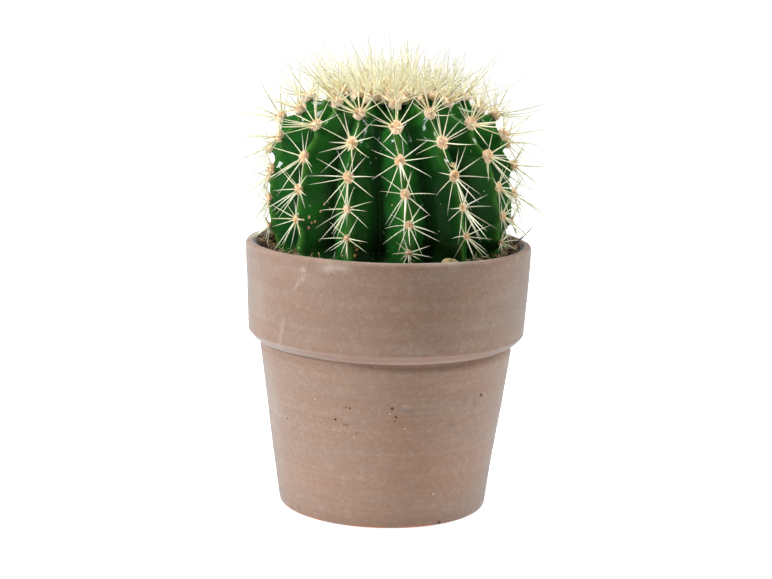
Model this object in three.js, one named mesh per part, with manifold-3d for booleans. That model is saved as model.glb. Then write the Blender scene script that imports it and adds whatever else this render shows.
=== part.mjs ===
// Round cactus in a clay flower pot: a ribbed barrel cactus standing in potting soil.
// Millimetres, +Z up. The origin is the centre of the pot's foot, on the surface it stands on.
// Azimuths are turned about +Z from the front, -Y, towards +X.
import * as THREE from 'three';
import { mergeVertices } from 'three/addons/utils/BufferGeometryUtils.js';
import Module from 'manifold-3d';

const wasm = await Module();
wasm.setup();

// ---- driving dimensions ----
const GAP = 0.3; // clearance between touching pieces

const POT_HEIGHT = 140.7;
const RIM_RADIUS = 75; // outer radius at the lip
const COLLAR_HEIGHT = 52; // the thick band under the lip
const COLLAR_TAPER = 2.1; // how much narrower the collar is at its lower edge
const COLLAR_ROUND = 5.2; // rounding of the collar's lower edge
const SHOULDER_RADIUS = 67.4; // outer radius of the wall where it meets the collar
const FOOT_RADIUS = 54.9; // outer radius of the wall at the foot
const FOOT_ROUND = 1.6;
const LIP_THICKNESS = 4.8;
const WALL_THICKNESS = 5.4;
const FLOOR_THICKNESS = 7;
const DRAIN_RADIUS = 9; // hole in the middle of the floor
const POT_SIDES = 48;
const POT_LEVELS = [110, 100, 92, 80, 50, 18]; // heights of the inside's rings, from the lip down
const INNER_ROUND = 6; // rounding between the wall and the floor inside

const SOIL_LEVEL = 133.6;
const SOIL_MOUND = 1.2; // how much higher the soil lies at the stem than at the wall
const SOIL_SIDES = 39;
const SOIL_LEVELS = [24, 50, 80, 92, 110]; // heights of its outer rings, from the floor up
const SOIL_ROUND = 8; // rounding of its lower edge
const BODY_CLEARANCE = 3 * GAP; // between the soil's bowl and the body, whose facets bulge less than its curve
const WALL_CLEARANCE = 2 * GAP;

const RIBS = 13;
const RIB_TURN = THREE.MathUtils.degToRad(9); // azimuth of the first rib over the soil
const RIB_TWIST = THREE.MathUtils.degToRad(-7); // how far the ribs have turned where they reach the crown
const RIB_BUNCH = THREE.MathUtils.degToRad(-15); // how far they crowd towards the first rib there
const WANDER_FROM = 150; // heights between which the ribs turn and crowd
const WANDER_TO = 212;
const RIB_DEPTH = 12; // from crest to groove at the widest level
const RIB_STEPS = 6; // facets across one rib
const RIB_SHARPNESS = 1.4; // exponent of a rib's section; 1 is a straight V
const GROOVE_START = SOIL_LEVEL - 14; // heights between which the grooves deepen
const GROOVE_FULL = SOIL_LEVEL + 8;
const GROOVE_FADE = 0.9; // share of the body's radius within which they fade towards the growing point
const BODY_RADIUS = 64.5; // over the crests at the widest level
const BODY_LEVEL = 172; // height of the widest level
const BODY_RISE = 48; // from there up to the growing point
const BODY_DROP = 75; // and down to the root end
const BODY_SQUARENESS = 3; // exponent of the body's superellipse; 2 is an ellipse
const BODY_STEP = 7.5; // degrees between the body's levels, seen from the middle of its widest level
const BURIED_STEP = 15;
const BURIED_TOP = -30;

const ROWS = 4; // areoles on each rib that carry full-grown spines
const CREST_START = THREE.MathUtils.degToRad(-16.2); // where the crest line starts
const FIRST_AREOLE = 4.3; // distances along the crest line
const AREOLE_STEP = 13.6;
const STEP_GROWTH = 0.55; // half of how much each step is longer than the one under it
const RIB_LEAD = 6 / RIBS; // how far up its step the next rib's areole sits, so the rows form spirals
const PAD_SIZE = new THREE.Vector3(3.6, 4.4, 1.8); // width, height and thickness of an areole's pad
const SPINE_RADIUS = 0.75;
const RADIAL_LENGTH = 14.5;
const RADIAL_TILT = THREE.MathUtils.degToRad(66); // away from the outward direction
const RADIAL_BEARINGS = [28, 74, 124, -124, -74, -28]; // degrees round the pad from straight up
const CENTRAL_LENGTH = 18;
const CENTRAL_TILT = THREE.MathUtils.degToRad(28);
const CENTRAL_BEARING = 180;
const LOWEST_SCALE = 0.5; // the lowest areoles, hemmed in by the rim, are this much of the full size
const GROWN_STEP = 1.6; // the step from which areoles have their full size

const CROWN_RADIUS = 33; // of the woolly cushion on the growing point
const CROWN_THICKNESS = 5;
const CROWN_SIDES = 24;
const CROWN_SPINES = 46;
const CROWN_SPINE_LENGTH = 20;
const CROWN_LEAN = THREE.MathUtils.degToRad(38); // of the outermost young spines
const CROWN_RINGS = [0, 0.4, 0.75, 1]; // shares of its radius
const CROWN_BULGE = 0.97; // how nearly the cushion thins out to nothing at its edge
const CROWN_SPREAD = 0.88; // share of its radius over which the young spines stand
const SPINE_SINK = 0.4; // share of its thickness at which they start
const GOLDEN_ANGLE = Math.PI * (3 - Math.sqrt(5));

const SPLINTER_FOOT = new THREE.Vector3(62.5, 9, SOIL_LEVEL + 1.8);
const SPLINTER_TIP = new THREE.Vector3(77.5, 12, SOIL_LEVEL + 16);
const SPLINTER_RADIUS = 0.9;
const SPLINTER_SIDES = 5;

// ---- materials ----
const paint = (color, roughness) => new THREE.MeshStandardMaterial({ color, roughness, metalness: 0 });
const CLAY = paint(0x9c8474, 0.9);
const SOIL = paint(0x3d3229, 1);
const SKIN = paint(0x3f6a2a, 0.45);
const SPINE = paint(0xe9dfa8, 0.5);
const WOOL = paint(0xe6d39a, 0.9);
const BARK = paint(0x33271f, 0.8);

// ---- solids ----
// A closed three.js geometry as a solid that can be joined and cut.
function solidOf(geometry) {
  const bare = new THREE.BufferGeometry();
  bare.setAttribute('position', geometry.getAttribute('position'));
  if (geometry.index) bare.setIndex(geometry.index);
  const merged = mergeVertices(bare, 1e-4);
  return new wasm.Manifold(
    new wasm.Mesh({
      numProp: 3,
      vertProperties: merged.getAttribute('position').array,
      triVerts: new Uint32Array(merged.index.array),
    }),
  );
}

function geometryOf(solid) {
  const mesh = solid.getMesh();
  const geometry = new THREE.BufferGeometry();
  geometry.setAttribute('position', new THREE.Float32BufferAttribute(mesh.vertProperties, mesh.numProp));
  geometry.setIndex(new THREE.Uint32BufferAttribute(mesh.triVerts, 1));
  return geometry;
}

function piece(name, solid, material) {
  const mesh = new THREE.Mesh(geometryOf(solid), material);
  mesh.name = name;
  return mesh;
}

// A profile of [radius, height] pairs turned about +Z; start is the azimuth of its first seam.
function turned(profile, sides, start = 0) {
  const points = profile.map(([radius, height]) => new THREE.Vector2(radius, height));
  return new THREE.LatheGeometry(points, sides, start).rotateX(Math.PI / 2);
}

// Points on an arc about [radius, height], angles in degrees from outwards, anticlockwise.
function arc(radius, height, size, from, to, steps) {
  return Array.from({ length: steps + 1 }, (_, i) => {
    const angle = THREE.MathUtils.degToRad(THREE.MathUtils.lerp(from, to, i / steps));
    return [radius + size * Math.cos(angle), height + size * Math.sin(angle)];
  });
}

// ---- clay pot ----
const collarLow = POT_HEIGHT - COLLAR_HEIGHT;
const collarRadius = RIM_RADIUS - COLLAR_TAPER;

// Radius of the pot's inside at a height, straight from the floor to the collar and from there to the lip.
function potInside(height) {
  const throat = SHOULDER_RADIUS - WALL_THICKNESS;
  if (height <= collarLow) {
    const rise = (height - FLOOR_THICKNESS) / (collarLow - FLOOR_THICKNESS);
    return THREE.MathUtils.lerp(FOOT_RADIUS - WALL_THICKNESS, throat, rise);
  }
  const rise = (height - collarLow) / COLLAR_HEIGHT;
  return THREE.MathUtils.lerp(throat, RIM_RADIUS - LIP_THICKNESS, Math.sqrt(rise));
}

function makePot() {
  const lip = LIP_THICKNESS / 2;
  const inner = POT_LEVELS.map((height) => [potInside(height), height]);
  const outline = [
    [DRAIN_RADIUS, FLOOR_THICKNESS],
    [DRAIN_RADIUS, 0],
    ...arc(FOOT_RADIUS - FOOT_ROUND, FOOT_ROUND, FOOT_ROUND, -90, 0, 3),
    ...arc(collarRadius - COLLAR_ROUND, collarLow + COLLAR_ROUND, COLLAR_ROUND, -90, 0, 5),
    ...arc(RIM_RADIUS - lip, POT_HEIGHT - lip, lip, 0, 180, 6),
    ...inner,
    ...arc(potInside(FLOOR_THICKNESS) - INNER_ROUND, FLOOR_THICKNESS + INNER_ROUND, INNER_ROUND, 0, -90, 3),
    [DRAIN_RADIUS, FLOOR_THICKNESS],
  ];
  return piece('clay_pot', solidOf(turned(outline, POT_SIDES)), CLAY);
}

// ---- cactus body ----
// The line over a rib's crest, from just under the rim of the pot to the growing point.
class CrestLine extends THREE.Curve {
  getPoint(t, target = new THREE.Vector2()) {
    return target.set(...bodyPoint(THREE.MathUtils.lerp(CREST_START, Math.PI / 2, t)));
  }
}

// [radius, height] on the body's superellipse at an angle seen from the middle of its widest level.
function bodyPoint(angle, grow = 0) {
  const power = 2 / BODY_SQUARENESS;
  const half = (angle < 0 ? BODY_DROP : BODY_RISE) + grow;
  const radius = (BODY_RADIUS + grow) * Math.abs(Math.cos(angle)) ** power;
  return [radius, BODY_LEVEL + half * Math.sign(angle) * Math.abs(Math.sin(angle)) ** power];
}

// The body's outline in the soil, from the root end up.
function buriedPoints(grow) {
  const points = [];
  for (let degrees = -90; degrees <= BURIED_TOP; degrees += BURIED_STEP) {
    points.push(bodyPoint(THREE.MathUtils.degToRad(degrees), grow));
  }
  points[0][0] = 0;
  return points;
}

// The azimuth that a rib's crest or a groove has reached at a height; turn is its azimuth over the soil.
function wander(turn, height) {
  const share = THREE.MathUtils.smoothstep(height, WANDER_FROM, WANDER_TO);
  return turn + share * (RIB_TWIST + RIB_BUNCH * Math.sin(turn - RIB_TURN));
}

// How deep the grooves are at a height and crest radius: full over the soil, none at the growing point.
function grooveDepth(radius, height) {
  const overSoil = THREE.MathUtils.smoothstep(height, GROOVE_START, GROOVE_FULL);
  const fade = BODY_RADIUS * GROOVE_FADE;
  const fromCrown = height < BODY_LEVEL ? 1 : THREE.MathUtils.smoothstep(radius, 0, fade);
  return RIB_DEPTH * overSoil * fromCrown;
}

function makeBody() {
  const profile = [...buriedPoints(0)];
  for (let degrees = BURIED_TOP + BODY_STEP; degrees <= 90; degrees += BODY_STEP) {
    profile.push(bodyPoint(THREE.MathUtils.degToRad(degrees)));
  }
  profile[profile.length - 1][0] = 0;
  const skin = turned(profile, RIBS * RIB_STEPS, RIB_TURN);
  const place = skin.getAttribute('position');
  for (let i = 0; i < place.count; i += 1) {
    const radius = Math.hypot(place.getX(i), place.getY(i));
    const turn = Math.atan2(place.getX(i), -place.getY(i));
    const ribsRound = ((turn - RIB_TURN) / (2 * Math.PI)) * RIBS;
    const across = 2 * Math.abs(ribsRound - Math.round(ribsRound)); // 0 on a crest, 1 in a groove
    const groove = grooveDepth(radius, place.getZ(i)) * across ** RIB_SHARPNESS;
    const carved = Math.max(radius - groove, 0);
    const azimuth = wander(turn, place.getZ(i));
    place.setXY(i, carved * Math.sin(azimuth), -carved * Math.cos(azimuth));
  }
  return piece('cactus_body', solidOf(skin), SKIN);
}

// ---- soil ----
function makeSoil() {
  const underside = FLOOR_THICKNESS + GAP;
  const wall = SOIL_LEVELS.map((height) => [potInside(height) - WALL_CLEARANCE, height]);
  const foot = potInside(FLOOR_THICKNESS) - SOIL_ROUND - BODY_CLEARANCE;
  const brim = bodyPoint(CREST_START, BODY_CLEARANCE);
  const outline = [
    [0, underside],
    ...arc(foot, underside + SOIL_ROUND, SOIL_ROUND, -90, -10, 3),
    ...wall,
    [potInside(SOIL_LEVEL) - WALL_CLEARANCE, SOIL_LEVEL],
    [brim[0], SOIL_LEVEL + SOIL_MOUND],
    ...buriedPoints(BODY_CLEARANCE).reverse(),
  ];
  return piece('potting_soil', solidOf(turned(outline, SOIL_SIDES)), SOIL);
}

// ---- spines ----
// A slim cone from the origin along a direction.
function taper(direction, length, radius = SPINE_RADIUS, sides = 3) {
  const cone = new THREE.ConeGeometry(radius, length, sides).translate(0, length / 2, 0);
  const turn = new THREE.Quaternion().setFromUnitVectors(new THREE.Vector3(0, 1, 0), direction);
  return cone.applyQuaternion(turn);
}

// A direction tilted from +Z, at a bearing in degrees clockwise from +Y.
function tilted(tilt, bearing) {
  const turn = THREE.MathUtils.degToRad(bearing);
  return new THREE.Vector3(
    Math.sin(tilt) * Math.sin(turn),
    Math.sin(tilt) * Math.cos(turn),
    Math.cos(tilt),
  );
}

// One areole in its own frame: +Z outwards, +Y up the rib; its pad's underside is at the origin.
function makeAreole() {
  const pad = new THREE.SphereGeometry(0.5, 6, 2).rotateX(Math.PI / 2);
  pad.scale(PAD_SIZE.x, PAD_SIZE.y, PAD_SIZE.z).translate(0, 0, PAD_SIZE.z / 2);
  const spines = RADIAL_BEARINGS.map((bearing) => taper(tilted(RADIAL_TILT, bearing), RADIAL_LENGTH));
  spines.push(taper(tilted(CENTRAL_TILT, CENTRAL_BEARING), CENTRAL_LENGTH));
  return spines.reduce(
    (whole, cone) => whole.add(solidOf(cone.translate(0, 0, PAD_SIZE.z / 2))),
    solidOf(pad),
  );
}

// The frame of an areole on a rib: step counts areoles up the crest line.
function areoleFrame(crest, rib, step) {
  const distance = FIRST_AREOLE + AREOLE_STEP * step + STEP_GROWTH * step ** 2;
  const along = distance / crest.getLength();
  const point = crest.getPointAt(along);
  const climb = crest.getTangentAt(along);
  const azimuth = wander(RIB_TURN + (2 * Math.PI * rib) / RIBS, point.y);
  const away = new THREE.Vector3(Math.sin(azimuth), -Math.cos(azimuth), 0);
  const lift = (inwards, upwards) => away.clone().multiplyScalar(inwards).setZ(upwards);
  const up = lift(climb.x, climb.y).normalize();
  const out = lift(climb.y, -climb.x).normalize();
  const side = new THREE.Vector3().crossVectors(up, out);
  const origin = lift(point.x, point.y).addScaledVector(out, GAP);
  return new THREE.Matrix4().makeBasis(side, up, out).setPosition(origin);
}

function makeSpineClusters() {
  const crest = new CrestLine();
  const areole = geometryOf(makeAreole());
  const clusters = [];
  for (let rib = 0; rib < RIBS; rib += 1) {
    for (let row = 0; row < ROWS; row += 1) {
      const cluster = new THREE.Mesh(areole, SPINE);
      cluster.name = `spines_rib${String(rib + 1).padStart(2, '0')}_row${row + 1}`;
      const step = row + ((rib * (1 - RIB_LEAD)) % 1);
      areoleFrame(crest, rib, step).decompose(cluster.position, cluster.quaternion, cluster.scale);
      cluster.scale.setScalar(THREE.MathUtils.lerp(LOWEST_SCALE, 1, Math.min(step / GROWN_STEP, 1)));
      clusters.push(cluster);
    }
  }
  return clusters;
}

// ---- woolly crown ----
// Height of the body's top at a distance from its axis.
function bodyTop(radius) {
  return BODY_LEVEL + BODY_RISE * (1 - (radius / BODY_RADIUS) ** BODY_SQUARENESS) ** (1 / BODY_SQUARENESS);
}

function makeCrown() {
  const reach = CROWN_RINGS.map((share) => share * CROWN_RADIUS);
  const under = reach.map((radius) => [radius, bodyTop(radius) + 2 * GAP]);
  const over = reach.map((radius) => {
    const bulge = Math.sqrt(1 - (CROWN_BULGE * radius / CROWN_RADIUS) ** 2);
    return [radius, bodyTop(radius) + 2 * GAP + CROWN_THICKNESS * bulge];
  });
  let crown = solidOf(turned([...under, ...over.reverse()], CROWN_SIDES));
  for (let i = 0; i < CROWN_SPINES; i += 1) {
    const share = Math.sqrt((i + 0.5) / CROWN_SPINES) * CROWN_SPREAD;
    const azimuth = i * GOLDEN_ANGLE;
    const lean = THREE.MathUtils.radToDeg(azimuth);
    const radius = share * CROWN_RADIUS;
    const young = taper(tilted(CROWN_LEAN * share, -lean), CROWN_SPINE_LENGTH);
    const foot = bodyTop(radius) + CROWN_THICKNESS * SPINE_SINK;
    young.translate(-radius * Math.sin(azimuth), radius * Math.cos(azimuth), foot);
    crown = crown.add(solidOf(young));
  }
  return piece('woolly_crown', crown, WOOL);
}

// ---- bark splinter ----
// A splinter from the potting soil that leans out over the lip of the pot.
function makeSplinter() {
  const lean = new THREE.Vector3().subVectors(SPLINTER_TIP, SPLINTER_FOOT);
  const sliver = taper(lean.clone().normalize(), lean.length(), SPLINTER_RADIUS, SPLINTER_SIDES);
  return piece('bark_splinter', solidOf(sliver.translate(...SPLINTER_FOOT)), BARK);
}

const cactus = new THREE.Group();
cactus.add(makePot(), makeSoil(), makeBody(), ...makeSpineClusters(), makeCrown(), makeSplinter());

export default cactus;
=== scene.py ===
"""Round cactus in a clay flower pot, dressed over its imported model.

Sizes are millimetres and meshes are written in metres. Azimuths turn about +Z from the front, -Y, towards +X.
"""

import logging
import math
from dataclasses import dataclass
from enum import Enum

import bpy
import numpy as np
from mathutils import Matrix, Vector


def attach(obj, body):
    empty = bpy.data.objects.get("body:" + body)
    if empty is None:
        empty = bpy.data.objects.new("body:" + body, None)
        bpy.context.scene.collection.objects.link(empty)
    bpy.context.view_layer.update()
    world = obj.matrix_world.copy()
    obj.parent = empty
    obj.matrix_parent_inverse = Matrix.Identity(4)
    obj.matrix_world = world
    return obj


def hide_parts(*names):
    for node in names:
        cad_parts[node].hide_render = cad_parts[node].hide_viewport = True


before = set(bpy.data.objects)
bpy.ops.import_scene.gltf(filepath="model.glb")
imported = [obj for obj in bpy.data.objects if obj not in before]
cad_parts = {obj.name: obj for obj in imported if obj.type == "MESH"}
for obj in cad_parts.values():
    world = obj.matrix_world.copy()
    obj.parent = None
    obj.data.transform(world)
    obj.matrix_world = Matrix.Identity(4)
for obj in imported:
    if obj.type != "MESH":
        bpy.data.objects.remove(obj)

Array = np.ndarray
Faces = list[Array]
Colour = tuple[float, float, float]
Point = tuple[float, float, float]
Patches = tuple[tuple[float, float, float, float, float], ...]
Spots = tuple[tuple[float, float, float], ...]

MM = 0.001
TAU = 2 * math.pi
BODY = "root"
log = logging.getLogger("potted_cactus")


# ---- shapes as whole arrays ----
def smoothstep(value: Array, low: float, high: float) -> Array:
    """0 below low, 1 above high and a smooth S between them."""
    share = np.clip((value - low) / (high - low), 0, 1)
    return share * share * (3 - 2 * share)


def blend(start: Array, end: Array, share: Array) -> Array:
    """The straight mix of two values: start at share 0 and end at share 1."""
    return start + (end - start) * share


def unit(vectors: Array) -> Array:
    """The vectors at length one."""
    return vectors / np.linalg.norm(vectors, axis=-1, keepdims=True)


def around(radius: Array, azimuth: Array, height: Array) -> Array:
    """Points at a radius, azimuth and height: x is radius sin azimuth and y is minus radius cos azimuth."""
    return np.stack(np.broadcast_arrays(radius * np.sin(azimuth), -radius * np.cos(azimuth), height), -1)


def waves(points: Array, size: float, seed: int, count: int = 20) -> Array:
    """Smooth bumps of about one size, mostly from -1 to 1: the sum of plane waves in seeded random directions.

    Args:
        points: where the bumps are wanted, with the coordinates last.
        size: how far apart the bumps are.
        seed: which bumps these are.
        count: how many waves are summed.

    Returns:
        One value for each point.
    """
    rng = np.random.default_rng(seed)
    heading = unit(rng.normal(size=(count, 3))).T * TAU / size
    return np.sin(points @ heading + rng.uniform(0, TAU, count)).sum(-1) / math.sqrt(count)


def strip(rows: int, columns: int, ring: bool = True, loop: bool = False) -> Array:
    """Quads between the points of a grid, facing along column direction cross row direction.

    Args:
        rows: how many rows of points there are.
        columns: how many points each row has.
        ring: whether the last column joins the first.
        loop: whether the last row joins the first.

    Returns:
        Point numbers, four to a face.
    """
    low = np.arange(rows if loop else rows - 1)[:, None]
    left = np.arange(columns if ring else columns - 1)[None, :]
    high, right = (low + 1) % rows * columns, (left + 1) % columns
    low = low * columns
    return np.stack([low + left, low + right, high + right, high + left], -1).reshape(-1, 4)


def ball(rings: int, sides: int) -> tuple[Array, Faces]:
    """A unit sphere: rings of points at even polar angles, closed by one face at each pole."""
    polar = np.linspace(math.pi, 0, rings + 2)[1:-1, None]
    turn = np.arange(sides) * TAU / sides
    points = np.stack(np.broadcast_arrays(
        np.sin(polar) * np.cos(turn), np.sin(polar) * np.sin(turn), np.cos(polar)), -1)
    pole = np.arange(sides)[None]
    return points.reshape(-1, 3), [strip(rings, sides), pole[:, ::-1], pole + (rings - 1) * sides]


def copies(points: Array, faces: Faces, axes: Array, origins: Array) -> tuple[Array, Faces]:
    """Copies of one shape, each in its own place: a point is origin plus its coordinates times the three axes.

    Args:
        points: the shape's points, or one set of them for each copy.
        faces: the shape's faces.
        axes: three axes for each copy, scaled to its size.
        origins: one place for each copy.

    Returns:
        All the copies' points and faces.
    """
    size = points.shape[-2]
    placed = origins[:, None] + np.einsum("...pi,...ij->...pj", points, axes)
    first = (np.arange(len(origins)) * size)[:, None, None]
    return placed.reshape(-1, 3), [(first + part).reshape(-1, part.shape[1]) for part in faces]


def tubes(paths: Array, radii: Array, sides: int) -> tuple[Array, Faces]:
    """Round tubes carried along paths: a ring's point is the path's plus radius times (side cos + up sin).

    Args:
        paths: count by steps by 3; side and up are square to the line from a path's first point to its last.
        radii: count by steps.
        sides: how many points a ring has; both ends are closed by one face.

    Returns:
        All the tubes' points and faces.
    """
    count, steps, _ = paths.shape
    ahead = unit(paths[:, -1] - paths[:, 0])
    side = unit(np.cross(np.where(np.abs(ahead[:, 2:]) < 0.9, [[0, 0, 1]], [[1, 0, 0]]), ahead))
    up = np.cross(ahead, side)
    turn = (np.arange(sides) * TAU / sides)[:, None]
    spoke = side[:, None, None] * np.cos(turn) + up[:, None, None] * np.sin(turn)
    points = paths[:, :, None] + radii[:, :, None, None] * spoke
    first = (np.arange(count) * steps * sides)[:, None, None]
    end = np.arange(sides)[None]
    ends = [strip(steps, sides), end[:, ::-1], end + (steps - 1) * sides]
    return points.reshape(-1, 3), [(first + part).reshape(-1, part.shape[1]) for part in ends]


def needles(roots: Array, headings: Array, lengths: Array, radii: Array, bends: Array,
            steps: int = 6, sides: int = 5, fullness: float = 0.75) -> tuple[Array, Faces, Array]:
    """Tapered needles: the path is root + length (t heading + t^2 bend), the radius base (1 - t)^fullness.

    Args:
        roots: where each needle starts.
        headings: unit vectors along which they start.
        lengths: their lengths.
        radii: their radii at the root.
        bends: how far each tip is carried aside, as a share of its length.
        steps: rings along a needle.
        sides: points in a ring.
        fullness: how long a needle keeps its width; 1 is a cone.

    Returns:
        Points, faces and each point's share t of the way to its tip.
    """
    share = np.linspace(0, 1, steps)[None, :, None]
    paths = roots[:, None] + lengths[:, None, None] * (share * headings[:, None] + share**2 * bends[:, None])
    width = radii[:, None] * np.maximum((1 - share[..., 0]) ** fullness, 0.06)
    points, faces = tubes(paths, width, sides)
    return points, faces, np.tile(np.repeat(share[0, :, 0], sides), len(roots))


class Gathered:
    """Shapes gathered into one mesh, with the values that their points carry."""

    def __init__(self) -> None:
        """Starts empty."""
        self.points: list[Array] = []
        self.faces: dict[int, list[Array]] = {}
        self.values: dict[str, list[Array]] = {}
        self.count = 0

    def add(self, points: Array, faces: Faces, **values: Array | float) -> None:
        """Adds one shape.

        Args:
            points: its points.
            faces: its faces, in arrays of one width each.
            **values: attributes of its points, spread over them as arrays are; every shape gives the same ones.
        """
        self.points.append(points.reshape(-1, 3))
        for part in faces:
            self.faces.setdefault(part.shape[1], []).append(part + self.count)
        for name, value in values.items():
            self.values.setdefault(name, []).append(np.broadcast_to(value, points.shape[:-1]).ravel())
        self.count += len(self.points[-1])

    def piece(self, name: str, material: bpy.types.Material) -> bpy.types.Object:
        """Writes the mesh and links its object, riding on the object's one body.

        Args:
            name: the piece's name.
            material: its finish.

        Returns:
            The piece.
        """
        faces = [np.concatenate(parts) for parts in self.faces.values()]
        corners = np.concatenate([part.ravel() for part in faces])
        widths = np.concatenate([np.full(len(part), part.shape[1]) for part in faces])
        mesh = bpy.data.meshes.new(name)
        mesh.vertices.add(self.count)
        mesh.vertices.foreach_set("co", (np.concatenate(self.points) * MM).astype(np.float32).ravel())
        mesh.loops.add(len(corners))
        mesh.loops.foreach_set("vertex_index", corners.astype(np.int32))
        mesh.polygons.add(len(widths))
        mesh.polygons.foreach_set("loop_start", (np.cumsum(widths) - widths).astype(np.int32))
        mesh.polygons.foreach_set("use_smooth", np.full(len(widths), True))
        mesh.update(calc_edges=True)
        for key, parts in self.values.items():
            attribute = mesh.attributes.new(key, "FLOAT", "POINT")
            attribute.data.foreach_set("value", np.concatenate(parts).astype(np.float32))
        mesh.materials.append(material)
        piece = bpy.data.objects.new(name, mesh)
        bpy.context.scene.collection.objects.link(piece)
        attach(piece, BODY)
        log.info("%s: %d points, %d faces", name, self.count, len(widths))
        return piece


# ---- node trees ----
class Wiring:
    """Adds nodes to a tree and joins them: a socket given as a value is linked, anything else is set."""

    def __init__(self, tree: bpy.types.NodeTree) -> None:
        """Works on one node tree."""
        self.tree = tree

    @classmethod
    def afresh(cls, holder: bpy.types.Material | bpy.types.World) -> "Wiring":
        """The emptied tree of a new material or world."""
        holder.use_nodes = True
        holder.node_tree.nodes.clear()
        return cls(holder.node_tree)

    def add(self, kind: str, values: dict | None = None, **settings: object) -> bpy.types.Node:
        """Adds a node.

        Args:
            kind: the node's type, without its ShaderNode prefix.
            values: what its inputs get, by name or number.
            **settings: its own properties.

        Returns:
            The node.
        """
        node = self.tree.nodes.new("ShaderNode" + kind)
        for name, value in settings.items():
            setattr(node, name, value)
        for key, value in (values or {}).items():
            if isinstance(value, bpy.types.NodeSocket):
                self.tree.links.new(value, node.inputs[key])
            else:
                node.inputs[key].default_value = value
        return node

    def place(self) -> bpy.types.NodeSocket:
        """Object coordinates, in metres."""
        return self.add("TexCoord").outputs["Object"]

    def stretched(self, vector: bpy.types.NodeSocket, scale: Point) -> bpy.types.NodeSocket:
        """The vector times a scale for each axis."""
        return self.add("Mapping", {"Vector": vector, "Scale": scale}).outputs["Vector"]

    def carried(self, name: str) -> bpy.types.NodeSocket:
        """A value that the mesh's points carry."""
        return self.add("Attribute", attribute_name=name).outputs["Fac"]

    def calc(self, operation: str, first: object, second: object) -> bpy.types.NodeSocket:
        """One Math node: the operation on two values."""
        return self.add("Math", {0: first, 1: second}, operation=operation).outputs[0]

    def share(self, value: object, low: float, high: float) -> bpy.types.NodeSocket:
        """0 at low, 1 at high and a smooth S between them."""
        return self.add("MapRange", {"Value": value, "From Min": low, "From Max": high},
                        interpolation_type="SMOOTHSTEP").outputs[0]

    def mix(self, share: object, start: object, end: object) -> bpy.types.NodeSocket:
        """The mix of two colours, start at share 0."""
        start, end = ((*c, 1) if isinstance(c, tuple) and len(c) == 3 else c for c in (start, end))
        return self.add("Mix", {0: share, 6: start, 7: end}, data_type="RGBA").outputs[2]

    def laid(self, colour: object, over: Colour, mask: object, strength: object) -> bpy.types.NodeSocket:
        """A colour with another laid over it, as much as the mask times the strength says."""
        return self.mix(self.calc("MULTIPLY", mask, strength), colour, over)


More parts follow.
